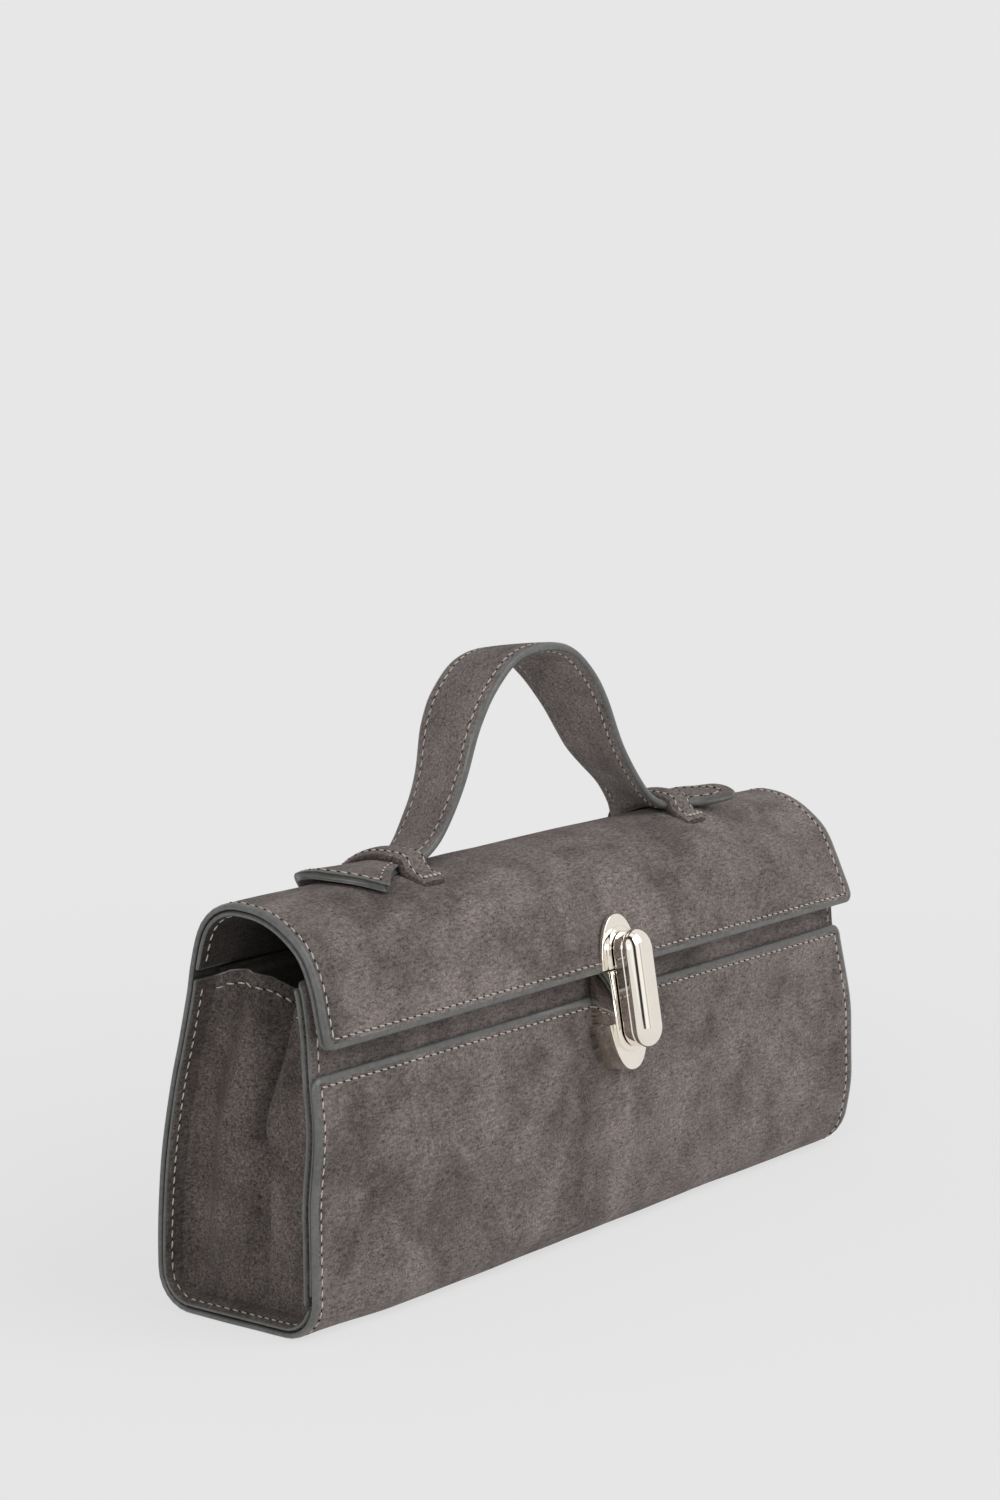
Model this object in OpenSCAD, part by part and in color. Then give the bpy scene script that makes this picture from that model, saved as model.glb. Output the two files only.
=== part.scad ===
// Structured handbag: one suede wrap with a curved front flap, pleated end gussets,
// a turn lock, and an arched strap handle that slides through two keeper loops.
// X runs along the length, the front faces -Y, and the base stands on Z = 0.

/* [Bag body] */
// Length of the bag from end to end
bag_length = 270; // [250:1:290]
// Height of the bag at the top of the closed flap
bag_height = 121; // [117:0.5:125]
// Depth of the bag near its base
bag_depth = 63; // [60:0.5:66]
// Radius of the bottom corners, seen from the end
corner_radius = 12; // [9:0.5:14]
// How far the top of the front panel leans back behind the base's front
front_setback = 7; // [6:0.5:9]
// How far the flap's front edge stands out before the base's front
flap_overhang = 2.1; // [1.5:0.1:3]

/* [Leather and boards] */
// Thickness of the outer wrap
wrap_thickness = 2; // [1.7:0.1:2.3]
// Thickness of the upper front panel and of the stiffening boards
panel_thickness = 1.4; // [1.1:0.1:1.7]
// Thickness of the main compartment's lining
lining_thickness = 0.8; // [0.5:0.1:1.2]
// Thickness of the flap's outer layer
flap_outer_thickness = 2; // [1.6:0.1:2.2]
// Thickness of the flap's inner layer
flap_lining_thickness = 1.7; // [1.4:0.1:1.8]
// How far the flap's inner layer ends short of the hinge line
flap_lining_setback = 3; // [2:0.5:6]

/* [Gussets] */
// Thickness of each gusset's outer layer
gusset_thickness = 1.4; // [1:0.1:1.8]
// Thickness of each gusset's lining
gusset_lining_thickness = 0.6; // [0.4:0.1:1]
// Width of the sewn flanges, along the bag's length
flange_width = 8; // [6:0.5:11]
// Depth of the pleat at the top of the gusset
pleat_top_depth = 28; // [18:1:34]
// Depth of the hollow at the bottom of the gusset
pleat_low_depth = 2.5; // [1:0.5:5]
// Height at which the pleat starts to deepen
pleat_start_height = 38; // [25:1:50]
// Height of the gusset's hem at the back
gusset_back_height = 95; // [90:0.5:96]
// Height of the gusset's hem at the front
gusset_front_height = 92; // [86:0.5:96]

/* [Handle] */
// Width of the handle strap
strap_width = 21; // [18:0.5:22]
// Thickness of the strap's outer ply
strap_outer_ply = 1.5; // [1.2:0.1:1.8]
// Thickness of the strap's inner ply
strap_inner_ply = 1.3; // [1:0.1:1.6]
// How far the strap's centre line lies behind the bag's middle
strap_offset = 4; // [2:0.5:5]
// Height of the grip's top above the flap
handle_rise = 60.5; // [50:0.5:75]
// Distance of each keeper loop from the middle
loop_distance = 69.6; // [60:0.2:80]
// Width of a keeper loop along the bag
loop_width = 10; // [9:0.5:12]
// Thickness of a keeper loop
loop_thickness = 1.8; // [1.4:0.1:2.2]
// Length of each sewn foot of a keeper loop
loop_foot = 5; // [4:0.5:6]
// Length of a handle tab beyond its keeper loop
tab_length = 27; // [20:0.5:28]
// Width of a handle tab at its wide end
tab_width = 40; // [32:0.5:40]

/* [Turn lock] */
// Length of the oval that the two halves make
lock_length = 47.5; // [44:0.5:50]
// Width of the oval
lock_width = 20; // [18:0.5:22]
// How far the oval reaches up the flap from the flap's edge
lock_reach = 16; // [14:0.5:18]
// Lean of the lock's front from the vertical, in degrees
lock_lean = 9.6; // [8:0.2:11]
// Thickness of the half plate on the flap
plate_thickness = 1.2; // [1:0.1:1.5]
// Height of the raised pad on both halves
pad_rise = 1.4; // [1.2:0.1:2.7]
// Width of the raised pad
pad_width = 15; // [13:0.5:16]
// Length of the lower block along the oval
block_height = 15; // [13:0.5:17]
// Length of the turning knob
knob_length = 36; // [32:0.5:37]
// Width of the turning knob
knob_width = 12.5; // [11:0.5:14]
// Thickness of the knob at its edge
knob_edge = 3; // [2.6:0.1:4.5]
// Height of the knob's domed front
knob_dome = 2.2; // [1.8:0.1:3]
// Gap between the pad and the knob
knob_gap = 3.6; // [3.4:0.1:4.2]
// Radius of the post that carries the knob
post_radius = 2.5; // [2:0.1:3]

/* [Hidden] */

$fn = 64;
suede = [0.41, 0.38, 0.37];
gusset_suede = [0.24, 0.22, 0.21];
lining_suede = [0.28, 0.26, 0.25];
board_colour = [0.55, 0.48, 0.40];
pale_nickel = [0.85, 0.83, 0.80];

half_length = bag_length / 2;
half_depth = bag_depth / 2;
curve_steps = 4;
arc_steps = 6;
// Running gap between soft pieces that move past each other
soft_gap = 0.3;
// Running clearance on the radius of the post
post_clearance = 0.05;
// Extra length of a cut beyond the piece it cuts
overrun = 1;

// Shares of half the depth and of the height, from the hinge line down the back
back_shares = [[0.581, 0.8017], [0.606, 0.767], [0.711, 0.655], [0.810, 0.557],
    [0.886, 0.458], [0.944, 0.360], [0.981, 0.260], [1, 0.162]];
// Shares of the front's setback and of the height, from low on the front up to the top of
// the front panel
front_shares = [[0, 0.207], [0.072, 0.372], [0.216, 0.496], [0.414, 0.620],
    [0.5265, 0.723], [0.756, 0.813], [1.0125, 0.848]];
panel_foot_share_index = 3;
apron_top_share_index = 4;
// Shares of half the depth and of the height, from the hinge line over the top
dome_shares = [[0.562, 0.832], [0.498, 0.900], [0.416, 0.946], [0.286, 0.979], [0.124, 0.9965],
    [-0.022, 1], [-0.270, 0.9935], [-0.479, 0.974], [-0.654, 0.9446], [-0.790, 0.911],
    [-0.880, 0.871], [-0.955, 0.8215]];
// Shares of the flap's overhang and of the height, on down to the flap's front edge
overhang_shares = [[0.03, 0.770], [0.75, 0.720], [1.005, 0.700]];

// Smooth curve through control points
function curve_point(a, b, c, d, t) =
    ((2 * b) + (c - a) * t + (2 * a - 5 * b + 4 * c - d) * t * t
    + (3 * b - a - 3 * c + d) * t * t * t) / 2;
function smooth(points, steps) =
    let (last = len(points) - 1)
    [for (i = [0 : last - 1], k = [0 : (i == last - 1 ? steps : steps - 1)])
        curve_point(points[max(i - 1, 0)], points[i], points[i + 1], points[min(i + 2, last)],
            k / steps)];
function left_of(v) = [-v[1], v[0]] / norm(v);
function left_normal(path, i) = left_of(path[min(i + 1, len(path) - 1)] - path[max(i - 1, 0)]);
function moved_left(path, distance) =
    [for (i = [0 : len(path) - 1]) path[i] + distance * left_normal(path, i)];
function section(list, first, last) = [for (i = [first : last]) list[i]];
function reversed(list) = [for (i = [len(list) - 1 : -1 : 0]) list[i]];
function mix(a, b, t) = a + (b - a) * t;
function running_length(path) =
    [for (i = 0, total = 0; i < len(path);
        total = total + (i < len(path) - 1 ? norm(path[i + 1] - path[i]) : 0), i = i + 1) total];

// Side of the body, as points [y, z] from the hinge line down the back, along the base
// and up the front
hinge_point = [back_shares[0][0] * half_depth, back_shares[0][1] * bag_height];
back_controls = concat(
    [hinge_point - [0, soft_gap / 2]],
    [for (i = [1 : len(back_shares) - 1])
        [back_shares[i][0] * half_depth, back_shares[i][1] * bag_height]],
    [[half_depth, corner_radius]]);
front_controls = concat(
    [[-half_depth, corner_radius]],
    [for (s = front_shares) [s[0] * front_setback - half_depth, s[1] * bag_height]]);
back_curve = smooth(back_controls, curve_steps);
front_curve = smooth(front_controls, curve_steps);
back_corner = [for (k = [1 : arc_steps])
    [half_depth - corner_radius + corner_radius * cos(k * 90 / arc_steps),
        corner_radius - corner_radius * sin(k * 90 / arc_steps)]];
front_corner = [for (p = reversed(back_corner)) [-p[0], p[1]]];
body_path = concat(back_curve, back_corner, front_corner, front_curve);
back_end = len(back_curve) - 1;
base_start = back_end + arc_steps;
base_end = base_start + 1;
front_start = base_end + arc_steps;
body_end = len(body_path) - 1;
panel_foot = front_start + panel_foot_share_index * curve_steps;
apron_top = front_start + apron_top_share_index * curve_steps;
function body_at_depth(depth) = moved_left(body_path, -depth);

board_depth = wrap_thickness;
lining_depth = wrap_thickness + panel_thickness;
inner_depth = lining_depth + lining_thickness;

// Side of the flap, from the hinge line over the top to its front edge
flap_controls = concat(
    [hinge_point + [0, soft_gap / 2]],
    [for (s = dome_shares) [s[0] * half_depth, s[1] * bag_height]],
    [for (s = overhang_shares) [-half_depth - s[0] * flap_overhang, s[1] * bag_height]]);
flap_path = smooth(flap_controls, curve_steps);
flap_end = len(flap_path) - 1;
flap_thickness = flap_outer_thickness + flap_lining_thickness;
flap_lengths = running_length(flap_path);
function flap_at_depth(depth) = moved_left(flap_path, depth);
function along_flap(s) =
    [for (axis = [0, 1])
        lookup(s, [for (i = [0 : flap_end]) [flap_lengths[i], flap_path[i][axis]]])];
function flap_normal(s) =
    let (n = [for (axis = [0, 1])
        lookup(s, [for (i = [0 : flap_end]) [flap_lengths[i], left_normal(flap_path, i)[axis]]])])
    n / norm(n);
function above_flap(s, rise) = along_flap(s) - rise * flap_normal(s);
strap_middle = lookup(strap_offset, [for (i = [0 : flap_end]) [flap_path[i][0], flap_lengths[i]]]);
flap_edge = flap_path[flap_end];
flap_lining_start = len([for (p = flap_lengths) if (p < flap_lining_setback) p]);

// A sheet between two paths of points [y, z], from one x to another
module sheet_between(outer, inner, x_from, x_to) {
    translate([x_from, 0, 0])
    rotate([90, 0, 90])
    linear_extrude(height = x_to - x_from)
    polygon(concat(outer, reversed(inner)));
}

// A body layer between two depths, over a stretch of the body's path
module body_layer(depth_from, depth_to, first, last, half_span) {
    sheet_between(section(body_at_depth(depth_from), first, last),
        section(body_at_depth(depth_to), first, last), -half_span, half_span);
}

// A closed skin between two grids of points
module skin(outer_rows, inner_rows) {
    rows = len(outer_rows);
    columns = len(outer_rows[0]);
    count = rows * columns;
    function at(i, j) = i * columns + j;
    points = concat([for (row = outer_rows, p = row) p], [for (row = inner_rows, p = row) p]);
    outer_faces = [for (i = [0 : rows - 2], j = [0 : columns - 2], half = [0, 1])
        half == 0 ? [at(i, j), at(i + 1, j + 1), at(i, j + 1)]
            : [at(i, j), at(i + 1, j), at(i + 1, j + 1)]];
    inner_faces = [for (f = outer_faces) [f[2] + count, f[1] + count, f[0] + count]];
    border = concat(
        [for (j = [0 : columns - 2]) [at(0, j), at(0, j + 1)]],
        [for (i = [0 : rows - 2]) [at(i, columns - 1), at(i + 1, columns - 1)]],
        [for (j = [columns - 1 : -1 : 1]) [at(rows - 1, j), at(rows - 1, j - 1)]],
        [for (i = [rows - 1 : -1 : 1]) [at(i, 0), at(i - 1, 0)]]);
    border_faces = [for (e = border, half = [0, 1])
        half == 0 ? [e[0], e[1], e[0] + count] : [e[1], e[1] + count, e[0] + count]];
    polyhedron(points = points, faces = concat(outer_faces, inner_faces, border_faces));
}

// Gusset
web_rows = 10;
web_columns = 10;
web_clearance = 0.3;
web_x = half_length - flange_width;
web_low = wrap_thickness + 2 * web_clearance;
pleat_power = 1.25;
// The hollow grows over this many rows above the base
rim_rows = 2;
// The flanges end this many points short of the corners
corner_notch_steps = 1;
function ease(t) = t <= 0 ? 0 : t >= 1 ? 1 : t * t * (3 - 2 * t);
web_back_table = [for (p = section(body_at_depth(wrap_thickness + web_clearance), 0, base_start))
    [p[1], p[0]]];
web_front_table = [for (p = section(body_at_depth(lining_depth + web_clearance), base_end, body_end))
    [p[1], p[0]]];
web_middle_height = (gusset_back_height + gusset_front_height) / 2;
function pleat_depth(z) = mix(pleat_low_depth, pleat_top_depth,
    ease((z - pleat_start_height) / (web_middle_height - pleat_start_height)));
// The first and last columns run flat past the boards and the lining
web_margin = panel_thickness + lining_thickness + web_clearance;
function web_point(i, j, depth) =
    let (
        across = min(1, max(0, (j - 1) / (web_columns - 2))),
        top = mix(gusset_front_height, gusset_back_height, across),
        z = mix(web_low, top, i / web_rows),
        front = lookup(z, web_front_table),
        back = lookup(z, web_back_table),
        y = j == 0 ? front : j == web_columns ? back
            : mix(front + web_margin, back - web_margin, across),
        rim = min(1, i / rim_rows))
    [web_x - depth - rim * pleat_depth(z) * (1 - pow(abs(2 * across - 1), pleat_power)), y, z];
function web_grid(depth) =
    [for (i = [0 : web_rows]) [for (j = [0 : web_columns]) web_point(i, j, depth)]];

module gusset_web(depth_from, depth_to) {
    skin(web_grid(depth_from), web_grid(depth_to));
}

module gusset_flange(depth, first, last) {
    sheet_between(section(body_at_depth(depth), first, last),
        section(body_at_depth(depth + gusset_thickness), first, last),
        web_x - gusset_thickness, half_length);
}

module gusset() {
    back_flange_top = len([for (p = back_curve) if (p[1] > gusset_back_height) p]);
    front_flange_top = body_end - len([for (p = front_curve) if (p[1] > gusset_front_height) p]);
    color(gusset_suede)
    union() {
        gusset_web(0, gusset_thickness);
        gusset_flange(wrap_thickness, back_flange_top, back_end - corner_notch_steps);
        gusset_flange(wrap_thickness, base_start, base_end);
        gusset_flange(lining_depth, front_start + corner_notch_steps, front_flange_top);
    }
}

module gusset_right() {
    gusset();
}

module gusset_left() {
    mirror([1, 0, 0])
    gusset();
}

module gusset_lining() {
    color(lining_suede)
    gusset_web(gusset_thickness, gusset_thickness + gusset_lining_thickness);
}

module gusset_lining_right() {
    gusset_lining();
}

module gusset_lining_left() {
    mirror([1, 0, 0])
    gusset_lining();
}

// Holes for the screws of the lock's lower half
screw_radius = 1;
screw_head_radius = 2.2;
screw_head_thickness = 1.2;
screw_spacing = 9;
screw_drop = 21;
screw_grip = 4;
screw_hole_clearance = 0.05;
screw_height = flap_edge[1] - screw_drop * cos(lock_lean);

module at_screws() {
    for (side = [-1, 1])
        translate([side * screw_spacing / 2, 0, screw_height])
        rotate([90, 0, 0])
        children();
}

module screw_holes() {
    at_screws()
    cylinder(r = screw_radius + screw_hole_clearance, h = bag_depth);
}

module body_wrap() {
    color(suede)
    difference() {
        body_layer(0, wrap_thickness, 0, apron_top, half_length);
        screw_holes();
    }
}

module front_panel() {
    color(suede)
    difference() {
        body_layer(board_depth, lining_depth, panel_foot, body_end, half_length);
        screw_holes();
    }
}

inside_half_length = web_x - gusset_thickness - gusset_lining_thickness - soft_gap;
// The boards and the lining end this many points short of the outer layers
top_setback_steps = 1;

module base_board() {
    color(board_colour)
    body_layer(board_depth, lining_depth, base_start, base_end, inside_half_length);
}

module back_board() {
    color(board_colour)
    body_layer(board_depth, lining_depth, top_setback_steps, back_end - corner_notch_steps, inside_half_length);
}

module front_board() {
    color(board_colour)
    difference() {
        body_layer(board_depth, lining_depth, front_start + corner_notch_steps, panel_foot, half_length);
        screw_holes();
    }
}

module lining() {
    color(lining_suede)
    difference() {
        body_layer(lining_depth, inner_depth, top_setback_steps, body_end - top_setback_steps, inside_half_length);
        screw_holes();
    }
}

// Flap
module flap_layer(depth_from, depth_to, first, last, half_span) {
    sheet_between(section(flap_at_depth(depth_from), first, last),
        section(flap_at_depth(depth_to), first, last), -half_span, half_span);
}

module flap_outer() {
    color(suede)
    difference() {
        flap_layer(0, flap_outer_thickness, 0, flap_end, half_length);
        rivet_holes();
    }
}

module flap_lining() {
    color(lining_suede)
    difference() {
        flap_layer(flap_outer_thickness, flap_thickness, flap_lining_start, flap_end, half_length);
        rivet_holes();
    }
}

// Handle strap, tabs and keeper loops
strap_thickness = strap_outer_ply + strap_inner_ply;
strap_side_gap = 0.8;
loop_ramp = 1.4;
loop_inner_x = loop_distance - loop_width / 2;
loop_outer_x = loop_distance + loop_width / 2;
loop_rise = strap_thickness + 2 * soft_gap;
loop_half_bridge = strap_width / 2 + strap_side_gap;
loop_steps = 8;
foot_steps = 5;
// Height of sewn leather above the flap's outer layer
glue_line = 0.08;

module keeper_loop() {
    foot_out = loop_half_bridge + loop_ramp + loop_foot;
    foot = [for (k = [0 : foot_steps]) mix(foot_out, loop_half_bridge, k / foot_steps)];
    bridge = [for (k = [0 : loop_steps]) mix(-loop_half_bridge, loop_half_bridge, k / loop_steps)];
    top = concat(
        [above_flap(strap_middle - foot_out, loop_thickness)],
        [above_flap(strap_middle - loop_half_bridge - loop_ramp, loop_thickness)],
        [for (s = bridge) above_flap(strap_middle + s, loop_rise + loop_thickness)],
        [above_flap(strap_middle + loop_half_bridge + loop_ramp, loop_thickness)],
        [above_flap(strap_middle + foot_out, loop_thickness)]);
    low = concat(
        [for (s = foot) above_flap(strap_middle - s, glue_line)],
        [for (s = bridge) above_flap(strap_middle + s, loop_rise)],
        [for (s = reversed(foot)) above_flap(strap_middle + s, glue_line)]);
    color(suede)
    sheet_between(top, low, loop_inner_x, loop_outer_x);
}

module keeper_loop_right() {
    keeper_loop();
}

module keeper_loop_left() {
    mirror([1, 0, 0])
    keeper_loop();
}

tab_columns = 10;
tab_end_x = loop_outer_x + tab_length;
tab_corner = 2.5;
// Shares of the tab's length beyond the loop, and of the growth from strap to tab width
tab_flare_shares = [[0, 0], [0.12, 0.03], [0.3, 0.16], [0.5, 0.42], [0.7, 0.74], [0.82, 0.93]];
tab_rows = concat(
    [[loop_inner_x + soft_gap, strap_width / 2]],
    [for (s = tab_flare_shares)
        [loop_outer_x + s[0] * tab_length, mix(strap_width, tab_width, s[1]) / 2]],
    [[tab_end_x - tab_corner, tab_width / 2]],
    [[tab_end_x, tab_width / 2 - tab_corner]]);

function tab_grid(rise) =
    [for (row = tab_rows)
        [for (j = [0 : tab_columns])
            let (p = above_flap(strap_middle + mix(-row[1], row[1], j / tab_columns), rise))
            [row[0], p[0], p[1]]]];

module handle_tab() {
    color(suede)
    skin(tab_grid(soft_gap + strap_thickness), tab_grid(soft_gap));
}

module handle_tab_right() {
    handle_tab();
}

module handle_tab_left() {
    mirror([1, 0, 0])
    handle_tab();
}

// Shares of the loops' distance and of the handle's rise, along one half of the arch
leg_shares = [[0.858, 0.086], [0.747, 0.174], [0.582, 0.402], [0.455, 0.666]];
arch_shares = [[0.345, 0.826], [0.187, 0.959]];
leg_foot = [loop_inner_x - soft_gap, bag_height + soft_gap + strap_thickness];
function arch_point(share) = [share[0] * loop_distance, bag_height + share[1] * handle_rise];
half_arch = concat([leg_foot], [for (s = leg_shares) arch_point(s)],
    [for (s = arch_shares) arch_point(s)]);
arch_controls = concat([for (p = half_arch) [-p[0], p[1]]],
    [[0, bag_height + handle_rise]], reversed(half_arch));
arch_path = smooth(arch_controls, curve_steps);
arch_end = len(arch_path) - 1;
leg_end = len(leg_shares) * curve_steps;
function arch_at_depth(depth) = moved_left(arch_path, -depth);

function shortened(points, distance) =
    let (last = len(points) - 1, back = points[last - 1] - points[last])
    concat(section(points, 0, last - 1), [points[last] + back * distance / norm(back)]);

// A strap between two paths of points [x, z], as wide as the handle
module strap_sheet(outer, inner) {
    translate([0, strap_offset + strap_width / 2, 0])
    rotate([90, 0, 0])
    linear_extrude(height = strap_width)
    polygon(concat(outer, reversed(inner)));
}

module grip_ply(depth_from, depth_to) {
    strap_sheet(section(arch_at_depth(depth_from), leg_end, arch_end - leg_end),
        section(arch_at_depth(depth_to), leg_end, arch_end - leg_end));
}

module handle_grip_outer_ply() {
    color(suede)
    grip_ply(0, strap_outer_ply);
}

module handle_grip_inner_ply() {
    color(lining_suede)
    grip_ply(strap_outer_ply, strap_thickness);
}

// Each leg ends a little short of the grip
module handle_leg() {
    color(suede)
    strap_sheet(shortened(section(arch_path, 0, leg_end), soft_gap),
        shortened(section(arch_at_depth(strap_thickness), 0, leg_end), soft_gap));
}

module handle_leg_left() {
    handle_leg();
}

module handle_leg_right() {
    mirror([1, 0, 0])
    handle_leg();
}

// Turn lock, in a frame whose origin is the middle of the flap's front edge, with
// X along the bag, Y up the lock's front and Z out of it
oval_middle = lock_reach - lock_length / 2;
edge_clearance = 0.6;
knob_middle = -edge_clearance - knob_width / 2;
block_top = oval_middle - lock_length / 2 + block_height;
pad_top = plate_thickness + pad_rise;
knob_back = pad_top + knob_gap;
pad_margin = (pad_width - knob_width) / 2;

module lock_frame() {
    translate([0, flap_edge[0], flap_edge[1]])
    rotate([90 - lock_lean, 0, 0])
    children();
}

module pill_outline(length, width) {
    square([width, length - width], center = true);
    for (side = [-1, 1])
        translate([0, side * (length - width) / 2])
        circle(d = width);
}

oval_steps = 48;
oval_power = 2.3;
function rounded(v) = sign(v) * pow(abs(v), 2 / oval_power);
module oval_outline() {
    polygon([for (k = [0 : oval_steps - 1])
        let (a = k * 360 / oval_steps)
        [rounded(cos(a)) * lock_width / 2, oval_middle + rounded(sin(a)) * lock_length / 2]]);
}

// The part of an outline above or below a line
module clipped_outline(low, high) {
    intersection() {
        children();
        translate([-lock_width, low])
        square([2 * lock_width, high - low]);
    }
}

module pad_outline() {
    translate([0, knob_middle])
    pill_outline(knob_length + 2 * pad_margin, pad_width);
}

module flap_plate() {
    color(pale_nickel)
    lock_frame()
    union() {
        linear_extrude(height = plate_thickness)
        clipped_outline(0, lock_reach)
        oval_outline();
        linear_extrude(height = pad_top)
        clipped_outline(0, lock_reach)
        pad_outline();
    }
}

bore_floor = -1;
washer_recess_radius = 5.5;

module lock_body() {
    color(pale_nickel)
    difference() {
        lock_frame()
        difference() {
            union() {
                translate([0, 0, -bag_depth / 2])
                linear_extrude(height = bag_depth / 2 + plate_thickness)
                clipped_outline(oval_middle - lock_length / 2, block_top)
                oval_outline();
                translate([0, 0, -bag_depth / 2])
                linear_extrude(height = bag_depth / 2 + pad_top)
                clipped_outline(oval_middle - lock_length / 2, -edge_clearance)
                pad_outline();
            }
            translate([0, knob_middle, -bag_depth])
            cylinder(r = post_radius + post_clearance, h = 2 * bag_depth);
            translate([0, knob_middle, bore_floor - bag_depth])
            cylinder(r = washer_recess_radius, h = bag_depth);
        }
        sheet_between(
            concat(section(body_path, base_end, apron_top), [[body_path[apron_top][0], bag_height]]),
            [[half_depth, 0], [half_depth, bag_height]], -lock_width, lock_width);
        at_screws()
        cylinder(r = screw_radius + screw_hole_clearance, h = screw_end + overrun);
    }
}

post_tail = 2.4;
washer_thickness = 0.8;
spring_washer_thickness = 0.6;
washer_radius = 5;
spring_washer_clearance = 0.2;
washer_clearance = 0.1;
socket_depth = 2.4;

module lock_post() {
    color(pale_nickel)
    lock_frame()
    translate([0, knob_middle, bore_floor - post_tail])
    cylinder(r = post_radius, h = post_tail - bore_floor + knob_back + socket_depth);
}

// Pill-shaped knob with a domed front and a socket for the post
module lock_knob() {
    dome_radius = (pow(knob_width / 2, 2) + pow(knob_dome, 2)) / (2 * knob_dome);
    end_distance = (knob_length - knob_width) / 2;
    dome_middle = knob_edge + knob_dome - dome_radius;
    color(pale_nickel)
    lock_frame()
    translate([0, knob_middle, knob_back])
    difference() {
        intersection() {
            linear_extrude(height = knob_edge + knob_dome)
            pill_outline(knob_length, knob_width);
            union() {
                translate([0, 0, dome_middle])
                rotate([90, 0, 0])
                cylinder(r = dome_radius, h = 2 * end_distance, center = true);
                for (side = [-1, 1])
                    translate([0, side * end_distance, dome_middle])
                    sphere(r = dome_radius);
            }
        }
        translate([0, 0, -overrun])
        cylinder(r = post_radius, h = socket_depth + overrun);
    }
}

module washer(inner_radius, outer_radius, thickness) {
    difference() {
        cylinder(r = outer_radius, h = thickness);
        translate([0, 0, -overrun])
        cylinder(r = inner_radius, h = thickness + 2 * overrun);
    }
}

module lock_spring_washer() {
    color(pale_nickel)
    lock_frame()
    translate([0, knob_middle, bore_floor - spring_washer_thickness])
    washer(post_radius + spring_washer_clearance, washer_radius, spring_washer_thickness);
}

module lock_retaining_washer() {
    color(pale_nickel)
    lock_frame()
    translate([0, knob_middle,
        bore_floor - spring_washer_thickness - washer_clearance - washer_thickness])
    washer(post_radius, washer_radius, washer_thickness);
}

backing_thickness = 1.2;
backing_width = 16;
// How far the backing plate reaches above and below the screws
backing_reach_up = 8;
backing_reach_down = 4.5;

// Plate behind the lining, bent to the front's curve
module lock_backing_plate() {
    inside = body_at_depth(inner_depth);
    rows = [for (i = [front_start : body_end])
        let (above = inside[i][1] - screw_height)
        if (above > -backing_reach_down && above < backing_reach_up) i];
    color(pale_nickel)
    difference() {
        sheet_between(section(inside, rows[0], rows[len(rows) - 1]),
            section(body_at_depth(inner_depth + backing_thickness), rows[0], rows[len(rows) - 1]),
            -backing_width / 2, backing_width / 2);
        screw_holes();
    }
}

front_table = [for (p = section(body_path, base_end, body_end)) [p[1], p[0]]];
front_at_screws = -lookup(screw_height, front_table);
screw_end = front_at_screws + screw_grip;
plate_table = [for (p = section(body_at_depth(inner_depth + backing_thickness), base_end, body_end))
    [p[1], p[0]]];
screw_head_y = -lookup(screw_height + screw_head_radius, plate_table);
head_seat_gap = 0.1;

module lock_screws() {
    color(pale_nickel)
    at_screws()
    union() {
        translate([0, 0, screw_head_y - head_seat_gap - screw_head_thickness])
        cylinder(r = screw_head_radius, h = screw_head_thickness);
        translate([0, 0, screw_head_y - head_seat_gap - screw_head_thickness])
        cylinder(r = screw_radius, h = screw_end - screw_head_y + head_seat_gap + screw_head_thickness);
    }
}

rivet_radius = 1.1;
rivet_head_radius = 2;
rivet_head_thickness = 0.8;
rivet_spacing = 8;
rivet_rise = 7;
rivet_hole_clearance = 0.05;
lock_out = [-cos(lock_lean), sin(lock_lean)];
lock_up = [sin(lock_lean), cos(lock_lean)];
// Depth of the backing plate's inner face behind the plate on the flap, at the rivets
rivet_depths = [for (p = flap_at_depth(flap_thickness + backing_thickness))
    let (d = p - flap_edge)
    if (abs(d * lock_up - rivet_rise) < 2 * rivet_head_radius) -d * lock_out];
rivet_length = max(rivet_depths) + head_seat_gap;

module at_rivets() {
    lock_frame()
    for (side = [-1, 1])
        translate([side * rivet_spacing / 2, rivet_rise, 0])
        mirror([0, 0, 1])
        children();
}

module rivet_holes() {
    at_rivets()
    cylinder(r = rivet_radius + rivet_hole_clearance, h = 2 * rivet_length);
}

module flap_plate_rivets() {
    color(pale_nickel)
    at_rivets()
    union() {
        cylinder(r = rivet_radius, h = rivet_length + rivet_head_thickness);
        translate([0, 0, rivet_length])
        cylinder(r = rivet_head_radius, h = rivet_head_thickness);
    }
}

flap_backing_low = 1.5;
flap_backing_high = 12;

// Plate inside the flap's lining, bent to the flap's curve
module flap_plate_backing() {
    inside = flap_at_depth(flap_thickness);
    rows = [for (i = [0 : flap_end])
        let (below = flap_lengths[flap_end] - flap_lengths[i])
        if (below > flap_backing_low && below < flap_backing_high) i];
    color(pale_nickel)
    difference() {
        sheet_between(section(inside, rows[0], rows[len(rows) - 1]),
            section(flap_at_depth(flap_thickness + backing_thickness), rows[0], rows[len(rows) - 1]),
            -backing_width / 2, backing_width / 2);
        rivet_holes();
    }
}

body_wrap();
front_panel();
base_board();
back_board();
front_board();
lining();
gusset_left();
gusset_right();
gusset_lining_left();
gusset_lining_right();
flap_outer();
flap_lining();
keeper_loop_left();
keeper_loop_right();
handle_grip_outer_ply();
handle_grip_inner_ply();
handle_leg_left();
handle_leg_right();
handle_tab_left();
handle_tab_right();
lock_body();
lock_post();
lock_knob();
lock_spring_washer();
lock_retaining_washer();
lock_backing_plate();
lock_screws();
flap_plate();
flap_plate_backing();
flap_plate_rivets();
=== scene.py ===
import math

import bpy
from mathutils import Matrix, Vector, noise


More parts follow.
